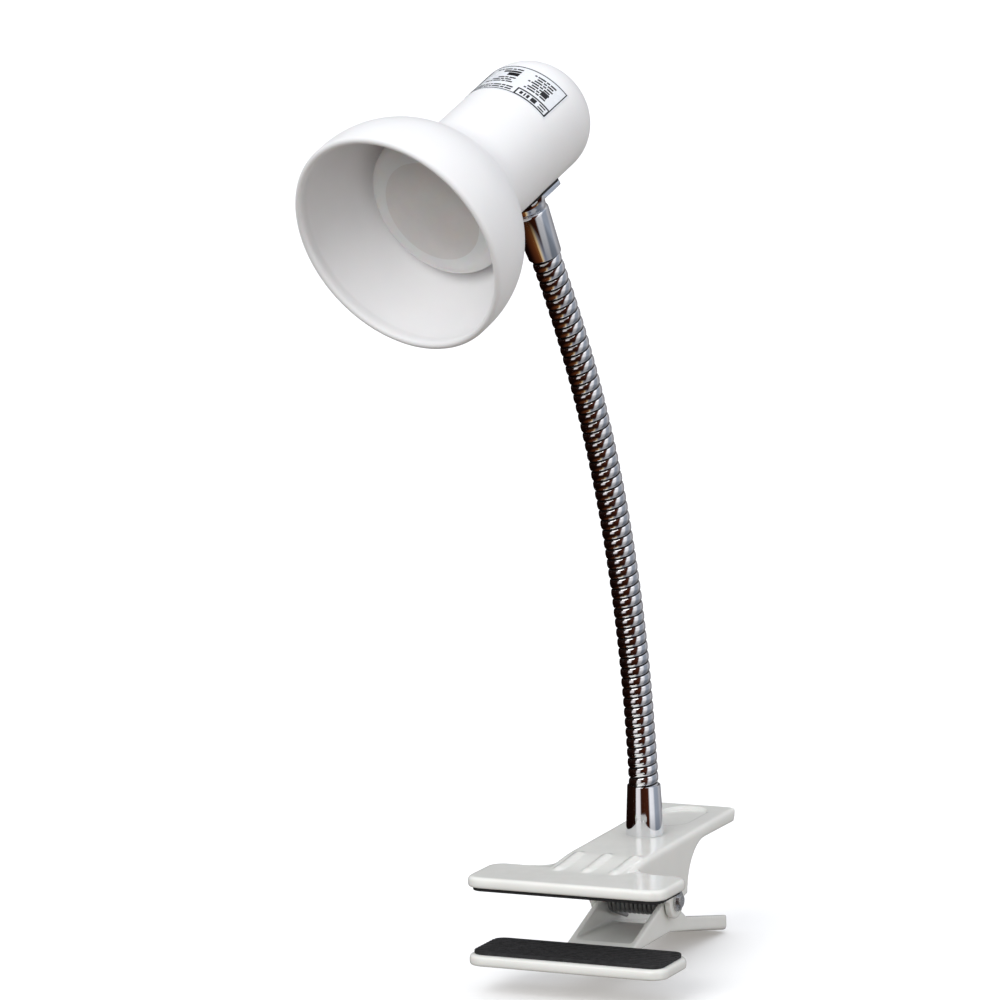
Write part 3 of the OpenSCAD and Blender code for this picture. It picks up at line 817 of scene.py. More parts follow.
# ---------------------------------------------------------------- clamp
@dataclass
class Clamp:
    """The two jaws, their pads, and the pivot with its spring."""

    layout: Layout
    paint: Palette
    bar_w: float = 70.0
    bar_l: float = 24.5
    bar_t: float = 3.6
    bar_corner: float = 5.5
    deck_w: float = 29.2
    handle_reach: float = 46.0
    deck_rise: float = 2.4
    deck_corner: float = 4.0
    ramp: tuple[float, float] = (-7.0, 15.5)  # its start and end, from the bar's rear edge
    front_flange: float = 4.0
    web_r: float = 7.0
    wall: float = 2.2
    board_t: float = 20.0
    pad_t: float = 1.2
    pad_inset: float = 1.6
    rib_w: float = 4.2
    rib_h: float = 0.85
    rib_gap: float = 10.0
    rib_l: float = 26.0
    rib_fade: int = 6
    recess: tuple[float, float, float] = (15.0, 28.0, 1.0)  # width, length, depth
    skirt_arc: float = 16.0
    skirt_h: float = 4.4
    boss: tuple[float, float] = (9.5, 1.9)  # radius, height
    bore_r: float = 4.85
    pivot_z: float = -20.0
    lug_r: float = 6.0
    well_l: float = 38.0
    grip_slope: float = 11.6
    grip_flange: float = 3.0
    cheek_w: float = 24.0
    cheek_t: float = 2.0
    wire_d: float = 1.6
    coil_d: float = 7.6
    coil_half: float = 8.25
    coil_turns: int = 10
    leg_slopes: tuple[float, float] = (25.0, 20.0)  # the upper leg's and the lower leg's, in degrees
    grain: float = 0.42
    passes: int = 6

    @property
    def bar_rear(self) -> float:
        """The rear edge of the jaw bars."""
        return self.bar_l - self.layout.front_reach

    @property
    def lower_top(self) -> float:
        """The top of the lower jaw's bar."""
        return -self.deck_rise - self.bar_t - 2 * self.pad_t - self.board_t

    def deck_top(self, y: float) -> float:
        """Returns the height of the deck's top at y, with the ramp up from the bar."""
        slope = math.tan(math.radians(self.layout.deck_slope))
        start, end = (self.bar_rear + reach for reach in self.ramp)
        u = ease((y - start) / (end - start))
        return -self.deck_rise * (1 - u) + slope * y * u

    def bar(self, top: float) -> Blank:
        """A jaw bar with rounded ears and rolled edges.

        Args:
            top: The height of its top.

        Returns:
            The blank.
        """
        half, foot = self.bar_w / 2, top - self.bar_t
        blank = Blank.cube((-half, self.bar_rear - self.bar_l, foot), (half, self.bar_rear, top))
        blank.round_edges(self.bar_corner, 10, upright)
        blank.round_edges(1.3, 4, lambda e: all_past(e, 2, top) and least_up(e) < 0.5)
        return blank.round_edges(0.6, 3, lambda e: all_below(e, foot) and most_up(e) > -0.5)

    def body_outline(self, inset: float) -> Line:
        """The upper jaw's side outline behind the bar.

        Args:
            inset: How far the core lies inside the skin.

        Returns:
            The (y, z) points.
        """
        front = self.bar_rear + (self.front_flange + inset if inset else self.ramp[0])
        rear, steps = self.handle_reach - inset, 60
        places = [front + (rear - front) * i / steps for i in range(steps + 1)]
        top = [(y, self.deck_top(y) - inset) for y in places]
        if inset:
            return [(front, -60)] + top + [(rear, -60)]
        skirt = arc((self.skirt_arc + 1.5, -self.skirt_h + 1 - self.skirt_arc), self.skirt_arc, 90, 180, 14)
        lug = arc((-self.layout.pivot_back, self.pivot_z), self.lug_r, 0, -180, 16)
        nose = [(self.bar_rear + self.front_flange, -self.deck_rise - self.bar_t + 0.8),
                (front, -self.deck_rise - self.wall)]
        return top + [(rear, self.deck_top(rear) - self.skirt_h)] + skirt + lug + nose

    def upper_jaw(self) -> Blank:
        """The upper jaw: bar, deck with skirts, grip ribs, thumb recess and the boss under the neck."""
        half = self.deck_w / 2
        body = Blank.prism(self.body_outline(0), -half, half)
        body.round_edges(self.deck_corner, 6, lambda e: all_past(e, 1, self.handle_reach) and upright(e))
        body.round_edges(1.5, 4, lambda e: most_up(e) > 0.9 and least_up(e) < 0.4
                         and min(f.normal.y for f in e.link_faces) > -0.6)
        core = Blank.prism(self.body_outline(self.wall), -half + self.wall, half - self.wall)
        body.with_solid(core, Cut.DIFFERENCE)
        body.with_solid(self.bar(-self.deck_rise), Cut.UNION)
        for side in (-1, 1):
            body.with_solid(self.web(side), Cut.UNION)
        for i in (-1, 0, 1):
            body.with_solid(self.rib(i * self.rib_gap), Cut.UNION)
        level = turn(self.layout.deck_slope, "X")
        radius, height = self.boss
        boss = Blank.cone(radius, radius, -1.1 - height, -1.1).placed(level)
        body.with_solid(boss, Cut.UNION).with_solid(self.recess_cutter(), Cut.DIFFERENCE)
        hole = Blank.cone(self.bore_r, self.bore_r, -6, 3).placed(level)
        return body.with_solid(hole, Cut.DIFFERENCE).moulded(self.grain, self.passes)

    def web(self, side: int) -> Blank:
        """The curved web in the corner between an ear and the deck.

        Args:
            side: 1 for the right ear, -1 for the left.

        Returns:
            The blank.
        """
        size, top = self.web_r, -self.deck_rise
        x0 = side * (self.deck_w / 2 - 1)
        x1 = side * (self.deck_w / 2 + size)
        blank = Blank.cube((min(x0, x1), self.bar_rear - 1, top - self.bar_t),
                           (max(x0, x1), self.bar_rear + size, top - 0.1))
        hollow = Blank.cone(size, size, top - 10, top + 5).placed(shift(x1, self.bar_rear + size))
        return blank.with_solid(hollow, Cut.DIFFERENCE)

    def rib(self, x: float) -> Blank:
        """A soft grip rib that follows the ramp and fades out at its ends.

        Args:
            x: Its place across the deck.

        Returns:
            The blank.
        """
        start, steps, sunk = self.bar_rear - 8, 30, 0.25
        places = [(start + self.rib_l * i / steps, min(i, steps - i) / self.rib_fade) for i in range(steps + 1)]
        outline = [(y, self.deck_top(y) - sunk + (self.rib_h + sunk) * ease(u)) for y, u in places]
        outline += [(y, self.deck_top(y) - 1.5) for y, _ in reversed(places)]
        rib = Blank.prism(outline, x - self.rib_w / 2, x + self.rib_w / 2)
        return rib.round_edges(self.rib_w / 2 - 0.15, 6, lambda e: most_up(e) > 0.7
                               and max(abs(f.normal.x) for f in e.link_faces) > 0.9)

    def recess_cutter(self) -> Blank:
        """The long round-ended tool that sinks the thumb recess."""
        width, length, depth = self.recess
        middle = self.handle_reach - 4 - length / 2
        tool = Blank.cube((-width / 2, -length / 2, -depth), (width / 2, length / 2, 8))
        tool.round_edges(width / 2 - 0.1, 12, upright)
        tool.round_edges(0.9, 4, lambda e: all_below(e, -depth) and most_up(e) > -0.5)
        return tool.placed(shift(0, middle, self.deck_top(middle)) @ turn(self.layout.deck_slope, "X"))

    def grip_top(self, y: float) -> float:
        """Returns the height of the lower handle's floor at y."""
        start = self.bar_rear + self.well_l
        return self.lower_top - 0.4 - max(0.0, y - start) * math.tan(math.radians(self.grip_slope))

    def lower_jaw(self) -> Blank:
        """The lower jaw: bar, handle and the cheeks that reach up to the pivot."""
        start, end, flange = self.bar_rear + self.well_l, self.handle_reach - 2, self.grip_flange
        low = [(end, self.grip_top(end) - self.wall), (start, self.grip_top(start) - self.wall),
               (self.bar_rear - 5, self.lower_top - self.wall - 0.6)]
        crown = arc((-self.layout.pivot_back, self.pivot_z), self.lug_r - 0.5, 180, 0, 16)
        side = low + [(self.bar_rear + 6, self.lower_top - 1)] + crown + [
            (start + 9, self.grip_top(start + 9) + flange + 2.2),
            (start + 14, self.grip_top(start + 14) + flange), (end, self.grip_top(end) + flange)]
        half = self.cheek_w / 2
        body = Blank.prism(side, -half, half)
        body.round_edges(3.5, 6, lambda e: all_past(e, 1, end) and upright(e))
        body.round_edges(1.3, 4, lambda e: least_up(e) < -0.9 and most_up(e) > -0.4
                         and all_past(e, 1, self.bar_rear + 5))
        core = Blank.prism(
            [(self.bar_rear - 8, self.lower_top), (start, self.grip_top(start)),
             (end + 9, self.grip_top(end + 9)), (end + 9, 20), (self.bar_rear - 8, 20)],
            -half + self.cheek_t, half - self.cheek_t)
        body.with_solid(core, Cut.DIFFERENCE).with_solid(self.bar(self.lower_top), Cut.UNION)
        return body.moulded(self.grain, self.passes)

    def pad(self, z0: float, face: int) -> Blank:
        """A rubber pad with grip grooves across its face.

        Args:
            z0: The height of its underside.
            face: 1 if it grips upwards, -1 if it grips downwards.

        Returns:
            The blank.
        """
        half = self.bar_w / 2 - self.pad_inset
        y0, y1 = self.bar_rear - self.bar_l + self.pad_inset, self.bar_rear - self.pad_inset
        blank = Blank.cube((-half, y0, z0), (half, y1, z0 + self.pad_t))
        blank.round_edges(self.bar_corner - self.pad_inset, 8, upright)
        grip = z0 + self.pad_t if face > 0 else z0
        pitch, width, depth = 2.2, 0.7, 0.35
        count = int((y1 - y0 - 2) / pitch)
        middle = (y0 + y1) / 2
        for i in range(count):
            y = middle + (i - (count - 1) / 2) * pitch
            tool = Blank.cube((-half - 1, y - width / 2, grip - depth), (half + 1, y + width / 2, grip + depth))
            blank.with_solid(tool, Cut.DIFFERENCE)
        return blank.soften(0.12, 1)

    def spring(self) -> Blank:
        """The torsion spring: a close coil round the pin and a leg to each jaw, of one wire."""
        rise, fall = self.leg_slopes
        radius = (self.coil_d + self.wire_d) / 2
        turns = self.coil_turns + (180 - rise - fall) / 360
        length = 2 * self.coil_half
        deselect_all()
        bpy.ops.mesh.primitive_circle_add(vertices=14, radius=self.wire_d / 2, fill_type="NOTHING",
                                          location=(radius, 0, 0), rotation=(math.pi / 2, 0, 0))
        coil = Blank(bpy.context.object)
        bpy.ops.object.transform_apply(location=True, rotation=True, scale=True)
        coil.modify("SCREW", axis="Z", angle=math.tau * turns, screw_offset=length, iterations=1,
                    steps=int(30 * turns), render_steps=int(30 * turns), use_smooth_shade=True)
        drop = self.pivot_z - radius * math.cos(math.radians(fall)) - self.wire_d / 2 - self.lower_top
        gap = -self.wall - self.wire_d / 2 - self.pivot_z - radius * math.cos(math.radians(rise))
        lengths = (gap / math.sin(math.radians(rise)) - 1, drop / math.sin(math.radians(fall)) + 3)
        last = math.tau * turns
        ways = (Vector((0, -1, 0)), Vector((-math.sin(last), math.cos(last), 0)))
        ends = (Vector((radius, 0, 0)), Vector((radius * math.cos(last), radius * math.sin(last), length)))
        for way, end, reach in zip(ways, ends, lengths):
            coil.pick(Element.CORNER, lambda v: (v.co - end).length < self.wire_d / 2 + CLEARANCE
                      and len(v.link_faces) < 4)
            bpy.ops.mesh.select_mode(type="EDGE")
            bpy.ops.mesh.extrude_region_move(TRANSFORM_OT_translate={"value": way * reach})
            bpy.ops.mesh.edge_face_add()
        coil.mend()
        # The coil's Z runs from the upper jaw's leg to the lower jaw's, which is from +X to -X.
        start = math.radians(90 + rise)
        out = Vector((0, math.cos(start), math.sin(start)))
        along = Vector((0, -math.sin(start), math.cos(start)))
        stand = Matrix((out, along, (-1, 0, 0))).transposed().to_4x4()
        return coil.placed(shift(self.coil_half, -self.layout.pivot_back, self.pivot_z) @ stand).mend()

    def build(self) -> None:
        """Models the clamp's pieces, dresses them and hides the CAD nodes that they replace."""
        place, ivory, rubber = self.layout.clamp, self.paint.ivory, self.paint.rubber
        under_bar = -self.deck_rise - self.bar_t - self.pad_t
        for blank, material, name, body, slot, node in (
            (self.upper_jaw(), ivory, "upper_jaw_moulding", "clamp", "ivory_plastic", "upper_jaw"),
            (self.lower_jaw(), ivory, "lower_jaw_moulding", "lower_clamp", "ivory_plastic", "lower_jaw"),
            (self.pad(under_bar, -1), rubber, "upper_grip_pad", "clamp", "pad_rubber", "upper_pad"),
            (self.pad(self.lower_top, 1), rubber, "lower_grip_pad", "lower_clamp", "pad_rubber", "lower_pad"),
        ):
            blank.painted(material).fitted(name, place, body, slot, node)
        wire = self.spring().painted(self.paint.spring).settled("torsion_spring", place, 60)
        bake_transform(wire)
        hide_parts("clamp_spring", "spring_leg")


# ---------------------------------------------------------------- gooseneck
@dataclass
class Gooseneck:
    """The wound steel hose, in a length for each joint, and the two chromed sleeves."""

    layout: Layout
    paint: Palette
    pitch: float = 3.46
    crest: float = 0.36
    groove: float = 0.52
    # The share of the groove's depth below which its faces are painted dark: painted shade, plus dirt in the seam.
    groove_shade_depth: float = 0.2
    steps: int = 40
    rib_points: tuple[float, ...] = (-1.0, -0.93, -0.85, -0.74, -0.58, -0.36, -0.12,
                                     0.12, 0.36, 0.58, 0.74, 0.85, 0.93, 1.0)
    seat: float = 8.0

    def sleeve(self, end_r: float) -> Line:
        """The outside of a sleeve from its wide end.

        Args:
            end_r: The radius of the rounding at the wide end.

        Returns:
            The (radius, height) points.
        """
        wide, narrow = self.layout.sleeve_wide_d / 2, self.layout.sleeve_narrow_d / 2
        return (arc((wide - end_r, end_r), end_r, -90, -3, 6)
                + arc((narrow - 0.25, self.layout.sleeve_l - 0.25), 0.25, 3, 90, 3))

    def base_sleeve(self) -> Blank:
        """The sleeve that stands on the deck."""
        bore, seat = self.layout.neck_d / 2 + CLEARANCE, 6.0
        inside = [(bore, self.layout.sleeve_l), (bore, seat), (bore - 0.2, seat), (bore - 0.2, 0.0)]
        return Blank.lathe(self.sleeve(0.3) + inside, 96, True)

    def top_sleeve(self) -> Blank:
        """The sleeve under the head, with a rounded shoulder."""
        bore, seat = self.layout.neck_d / 2 + CLEARANCE, 2.4
        inside = [(bore, self.layout.sleeve_l), (bore, seat), (THREAD_R, seat), (THREAD_R, 0.0)]
        return Blank.lathe(self.sleeve(1.3) + inside, 96, True).placed(turn(180, "X")).mend()

    def path(self) -> list[Vector]:
        """The neck's centre line, from inside the base sleeve to inside the top sleeve."""
        base, head = self.layout.base, self.layout.head
        foot = [base @ Vector((0, 0, self.layout.sleeve_l + z)) for z in (-self.seat, 0)]
        top = [head @ Vector((0, 0, -self.layout.sleeve_l + z)) for z in (0, self.seat)]
        return foot + self.layout.joints + top

    def guide(self) -> bpy.types.Object:
        """A smooth curve through the path's points, for the hose to follow."""
        points = self.path()
        data = bpy.data.curves.new("neck_guide", "CURVE")
        data.dimensions = "3D"
        data.resolution_u = 24
        spline = data.splines.new("BEZIER")
        spline.bezier_points.add(len(points) - 1)
        for knot, place in zip(spline.bezier_points, points):
            knot.co = place
            knot.handle_left_type = knot.handle_right_type = "AUTO"
        obj = bpy.data.objects.new("neck_guide", data)
        bpy.context.scene.collection.objects.link(obj)
        return obj

    def hose(self) -> Blank:
        """The whole hose: one rib's profile run up a screw line, then bent along the guide."""
        guide = self.guide()
        length = guide.data.splines[0].calc_length()
        radius = self.layout.neck_d / 2
        turns = math.ceil(length / self.pitch) + 2
        blank = Blank.line([(radius - self.crest * u * u - self.groove * u ** 8, 0, (u / 2 - 1) * self.pitch)
                            for u in self.rib_points])
        blank.modify("SCREW", axis="Z", angle=math.tau, screw_offset=self.pitch, iterations=turns,
                     steps=self.steps, render_steps=self.steps, use_smooth_shade=True)
        # The groove bottoms take the dark steel: painted shade in the creases, with dirt in the seam.
        floor = radius - self.crest - self.groove * self.groove_shade_depth
        blank.mend().painted(self.paint.hose).zoned(self.paint.seam, lambda middle: middle.xy.length < floor)
        blank.slice((0, 0, 0), (0, 0, 1), drop_back=True).slice((0, 0, length), (0, 0, 1), drop_front=True)
        blank.modify("CURVE", object=guide, deform_axis="POS_Z")
        bpy.data.objects.remove(guide)
        return blank

    def lengths(self) -> list[Blank]:
        """The hose cut at the middle of each link."""
        hose = self.hose()
        joints = self.layout.joints
        cuts = [((a + b) / 2, (b - a).normalized()) for a, b in zip(joints, joints[1:])]
        pieces = []
        for i in range(len(joints)):
            piece = hose.copy()
            if i > 0:
                piece.slice(*cuts[i - 1], drop_back=True)
            if i < len(cuts):
                piece.slice(*cuts[i], drop_front=True)
            pieces.append(piece.mend())
        bpy.data.objects.remove(hose.obj)
        return pieces

    def build(self) -> None:
        """Models the neck's pieces and dresses them."""
        ends = ((self.base_sleeve(), "base_sleeve", self.layout.base, "clamp"),
                (self.top_sleeve(), "top_sleeve", self.layout.head, "neck_end"))
        for blank, node, place, body in ends:
            blank.painted(self.paint.chrome).fitted(f"{node}_chrome", place, body, "chrome_sleeve", node, crease=40)
        links, joints = self.layout.links, self.layout.joints
        last = len(joints) - 1
        for i, (piece, joint) in enumerate(zip(self.lengths(), links)):
            obj = piece.settled(f"gooseneck_length_{i + 1}", Matrix.Identity(4), 48)
            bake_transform(obj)
            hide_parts(*(f"neck_link_{n}" for n in ([i + 1, i + 2] if i == last else [i + 1])))


# ---------------------------------------------------------------- head
@dataclass
class Head:
    """The shade on its saddle, with the label, the bulb and what holds it."""

    layout: Layout
    paint: Palette
    rim_r: float = 38.35
    neck_r: float = 19.5
    length: float = 95.4
    rim_l: float = 4.9
    bell_r: float = 34.8
    throat_r: float = 15.0
    dome_r: float = 15.5
    wall: float = 2.0
    lip: float = 1.25
    saddle: tuple[float, float, float] = (15.0, 37.0, 1.2)  # length, half its wrap in degrees, thickness
    saddle_corner: float = 6.0
    gasket_t: float = 0.7
    boss_r: float = 8.6
    bulb_r: float = 25.0
    bulb_depth: float = 21.5
    crown: float = 1.8
    shoulder_r: float = 5.0
    glass_t: float = 0.8
    cap_r: float = 8.3
    cap_front: float = 68.0
    label: tuple[float, float, float] = (65.5, 80.5, 66.0)  # near edge, far edge, half its wrap in degrees
    film_lift: float = 0.12
    ink_lift: float = 0.15

    def outline(self, off: float) -> Line:
        """The shade's outline from the rim to the dome.

        Args:
            off: How far it lies inside the outer skin.

        Returns:
            The (radius, distance) points.
        """
        swing = math.degrees(math.acos(1 - (self.rim_r - self.neck_r) / (self.bell_r + self.throat_r)))
        throat = self.rim_l + (self.bell_r + self.throat_r) * math.sin(math.radians(swing))
        return (arc((self.rim_r - self.bell_r, self.rim_l), self.bell_r - off, 0, swing, 18)
                + arc((self.neck_r + self.throat_r, throat), self.throat_r + off, 180 + swing, 180, 12)[1:]
                + arc((self.neck_r - self.dome_r, self.length - self.dome_r), self.dome_r - off, 0, 90, 16))

    def shade(self) -> Blank:
        """The bell shade: one spun shell with a rounded, slightly thicker lip, and the boss for the stem."""
        lip = self.lip
        mouth = [(self.rim_r - self.wall, 4.0), (self.rim_r - 2 * lip, 2.6)]
        bead = arc((self.rim_r - lip, lip), lip, -180, 0, 10)
        crown = [(0, self.length), (0, self.length - self.wall)]
        inside = list(reversed(self.outline(self.wall)))
        shell = Blank.lathe(mouth + bead + self.outline(0) + crown + inside, 144, True)
        drop = self.layout.shade_lift
        boss = Blank.cone(self.boss_r, self.boss_r, drop - self.neck_r + 0.8, drop - 14.8)
        bore = Blank.cone(THREAD_R, THREAD_R, -1, drop - 5)
        into = self.layout.shade.inverted() @ self.layout.head
        shell.with_solid(boss.placed(into), Cut.UNION)
        return shell.with_solid(bore.placed(into), Cut.DIFFERENCE)

    def strap(self, inner: float, thick: float, length: float, wrap: float, corner: float) -> Blank:
        """A curved plate that hugs the shade's neck on the stem's side, in the head's frame.

        Args:
            inner: Its inner radius.
            thick: Its thickness.
            length: Its length along the shade.
            wrap: Half of the angle that it wraps round the neck.
            corner: The radius of its corners.

        Returns:
            The blank.
        """
        lift, middle = self.layout.shade_lift, inner + thick / 2
        a = math.radians(wrap)
        y, z = -middle * math.sin(a), lift - middle * math.cos(a)
        sheet = Blank.line([(-length / 2 - 1, y, z), (length / 2 + 1, y, z)])
        sheet.sweep(40, 2 * wrap, (0, 0, lift), (1, 0, 0))
        sheet.modify("SOLIDIFY", thickness=thick, offset=0.0, use_even_offset=True)
        sheet.mend()
        reach = (inner + thick) * math.sin(a) + 0.4
        trim = Blank.cube((-length / 2, -reach, 0), (length / 2, reach, lift))
        trim.round_edges(corner, 8, upright)
        return sheet.with_solid(trim, Cut.INTERSECT)

    def saddle_piece(self) -> Blank:
        """The chromed saddle: the curved plate and the boss that flares up into it."""
        length, wrap, thick = self.saddle
        inner = self.neck_r + self.gasket_t
        plate = self.strap(inner, thick, length, wrap, self.saddle_corner)
        rest = self.layout.sleeve_wide_d / 2
        flare = ((-0.75, 0.1), (-0.55, 0.2), (-0.45, 0.45), (-0.4, 1.2), (-0.3, 2.2), (0, 3.0), (0.6, 5.0))
        boss = Blank.lathe([(0, 0.1)] + [(rest + out, z) for out, z in flare] + [(0, 5.0)], 64)
        hollow = Blank.cone(inner + thick / 2, inner + thick / 2, -20, 20, 128)
        hollow.placed(shift(0, 0, self.layout.shade_lift) @ turn(90, "Y"))
        boss.with_solid(hollow, Cut.DIFFERENCE)
        plate.with_solid(boss, Cut.UNION)
        return plate.soften(0.35, 3)

    def seal(self) -> Blank:
        """The rubber seal under the saddle, which shows a little all round it."""
        length, wrap, _ = self.saddle
        return self.strap(self.neck_r - 0.02, self.gasket_t, length + 1, wrap + 1.5, self.saddle_corner + 0.5)

    def patch(self, low: float, high: float, start: float, end: float, lift: float) -> Blank:
        """A patch of film round the shade's neck.

        Args:
            low: Its edge nearer the rim.
            high: Its edge nearer the dome.
            start: The angle of its first end, in degrees from the side opposite the stem.
            end: The angle of its last end.
            lift: How far its face lies off the neck.

        Returns:
            The blank.
        """
        a = math.radians(start)
        radius = self.neck_r + lift
        strip = Blank.line([(radius * math.cos(a), radius * math.sin(a), z) for z in (low, high)])
        strip.sweep(max(1, round(abs(end - start) / 3)), end - start, (0, 0, 0), (0, 0, 1))
        strip.edit()
        bpy.ops.mesh.remove_doubles(threshold=1e-5)
        bpy.ops.mesh.normals_make_consistent(inside=False)
        outward = sum(f.normal.xy.dot(f.calc_center_median().xy) for f in bmesh.from_edit_mesh(strip.obj.data).faces)
        if outward < 0:
            bpy.ops.mesh.flip_normals()
        return strip

    def printed(self) -> list[tuple[float, ...]]:
        """The label's print, all of it plain lines, boxes and bars.

        Returns:
            Each mark as (near edge, far edge, start, end): millimetres from the label's edge
            nearer the rim, and millimetres along it from the end with the box.
        """
        wide, long = self.label[1] - self.label[0], 2 * math.radians(self.label[2]) * self.neck_r
        marks = (self.border(0.45, wide - 0.45, 0.45, long - 0.45, 0.36)
                 + self.border(0.45, 4.1, 0.45, 13.5, 0.55))
        # In the small box, then the three solid blocks beside the rows.
        marks += [(1.4, 3.2, 5.6, 7.6), (1.5, 3.1, 8.4, 9.3), (1.5, 3.1, 9.8, 10.3), (1.6, 3.0, 10.9, 11.9),
                  (1.4, 1.9, 1.8, 4.4), (2.6, 3.1, 1.8, 4.4)]
        marks += [(6.2, 8.4, 4.2, 6.8), (8.8, 10.5, 16.8, 21.0), (10.8, 11.7, 16.8, 23.4)]
        rows = [(5.2 + 1.15 * i, 4.0 + 0.5 * (i % 2), 13.0 - 1.1 * (i % 3)) for i in range(7)]
        rows += [(5.0 + 1.15 * i, 16.8 + (i % 2), 27.4 - 2.0 * (i % 3)) for i in range(3)] + [(12.3, 16.8, 27.0)]
        rows += [(5.0 + 1.25 * i, 29.5, long - 2.5 - 1.5 * (i % 2)) for i in range(7)]
        rows += [(1.4, 15.0, long - 2.0), (2.6, 15.0, long - 4.0)]
        for near, start, stop in rows:
            marks += [(near, near + 0.62, a, b) for a, b in self.words(start, stop)]
        return marks

    def border(self, near: float, far: float, start: float, end: float, line: float) -> list[tuple[float, ...]]:
        """The four lines of a box on the label.

        Args:
            near: The box's edge nearer the rim.
            far: Its edge nearer the dome.
            start: Its first end along the label.
            end: Its last end.
            line: The width of a line.

        Returns:
            The marks, as printed() gives them.
        """
        return [(near, near + line, start, end), (far - line, far, start, end),
                (near, far, start, start + line), (near, far, end - line, end)]

    def words(self, start: float, stop: float) -> Line:
        """A row of bars of word length.

        Args:
            start: Where the row starts.
            stop: Where it stops.

        Returns:
            Each bar's ends.
        """
        lengths, bars, here = (2.3, 1.2, 2.9, 0.8, 1.7), [], start
        while here < stop - 0.5:
            end = min(stop, here + lengths[len(bars) % len(lengths)])
            bars.append((here, end))
            here = end + 0.4
        return bars

    def rating_label(self) -> Blank:
        """The paper label round the neck of the shade, with a plain border and bars for print."""
        low, high, half = self.label
        film = self.patch(low, high, -half, half, self.film_lift)
        film.modify("SOLIDIFY", thickness=0.1, offset=-1.0).painted(self.paint.film)
        degrees = math.degrees(1 / self.neck_r)
        marks = [self.patch(low + near, low + far, half - end * degrees, half - start * degrees, self.ink_lift)
                 for near, far, start, end in self.printed()]
        ink = marks[0].joined(marks[1:]).modify("SOLIDIFY", thickness=0.05, offset=-1.0).painted(self.paint.ink)
        return film.joined([ink])

    def bulb(self) -> Blank:
        """The reflector bulb: a crowned frosted face, a shoulder ring painted lighter as painted light, and a silvered
        flank down to the cap.
        """
        depth, edge, rings = self.bulb_depth, self.shoulder_r, 8
        flat = self.bulb_r - edge
        face = [(flat * i / rings, depth - self.crown * (1 - (i / rings) ** 2)) for i in range(rings)]
        curve = arc((flat, depth + edge), edge, -90, 0, rings)
        neck, flare, steps = self.cap_r - 0.3, 28.0, 24
        falls = [(i / steps, math.cos(math.radians(90 * (i / steps) ** 0.75)) ** 2) for i in range(1, steps + 1)]
        side = [(neck + (self.bulb_r - neck) * fall, depth + edge + flare * u) for u, fall in falls]
        inner = [(r - self.glass_t, z) for r, z in reversed(side)]
        end = [(neck, self.cap_front), (neck - self.glass_t, self.cap_front)]
        floor = [(flat - 0.6, depth + 1.4), (0, depth + 1.0 - self.crown)]
        glass = Blank.lathe(face + curve + side + end + inner + floor, 96).painted(self.paint.frost)
        # The shoulder ring takes the lighter frost, painted light; the face stays darker.
        shoulder, back = self.bulb_r - 7.5, depth + edge + 1.0
        glass.zoned(self.paint.lit_frost_edge, lambda middle: middle.xy.length > shoulder and middle.z <= back)
        return glass.zoned(self.paint.mirror, lambda middle: middle.z > back)

    def build(self) -> None:
        """Models the head's pieces and dresses them."""
        seat, shade, paint = self.layout.head, self.layout.shade, self.paint
        for blank, name, place, slot, node in (
            (self.shade().painted(paint.white), "bell_shade", shade, "white_shade", "shade"),
            (self.saddle_piece().painted(paint.chrome), "chromed_saddle", seat, "chrome_sleeve", "saddle"),
            (self.seal().painted(paint.bush), "saddle_seal", seat, "black_rubber", "saddle_gasket"),
            (self.rating_label(), "paper_label", shade, "label_film", "rating_label"),
            (self.bulb(), "reflector_bulb", shade, "frosted_glass", "bulb_glass"),
        ):
            blank.fitted(name, place, "head", slot, node)


# ---------------------------------------------------------------- small parts
@dataclass
class SmallParts:
    """The CAD nodes that keep their own shape and get a finish."""

    paint: Palette

    def build(self) -> None:
        """Gives each of them its material."""
        finishes = {
            self.paint.pin: ["pivot_pin", "pivot_clip"],
            self.paint.brass: ["base_nipple", "swivel_nipple", "socket_shell", "socket_contact"],
            self.paint.zinc: ["base_washer", "base_nut", "swivel_washer", "head_washer", "head_nut",
                              "socket_bracket", "bracket_screws"],
            self.paint.bush: ["lead_bush"],
            self.paint.cream: ["socket_body"],
            self.paint.cap: ["bulb_cap"],
            self.paint.insulator: ["bulb_contact"],
        }
        for material, names in finishes.items():
            for name in names:
                slots = frame["nodes"][name].material_slots
                if not slots:
                    frame["nodes"][name].data.materials.append(material)
                for slot in slots:
                    slot.material = material
                LOG.info("%s: dressed in %s", name, material.name)


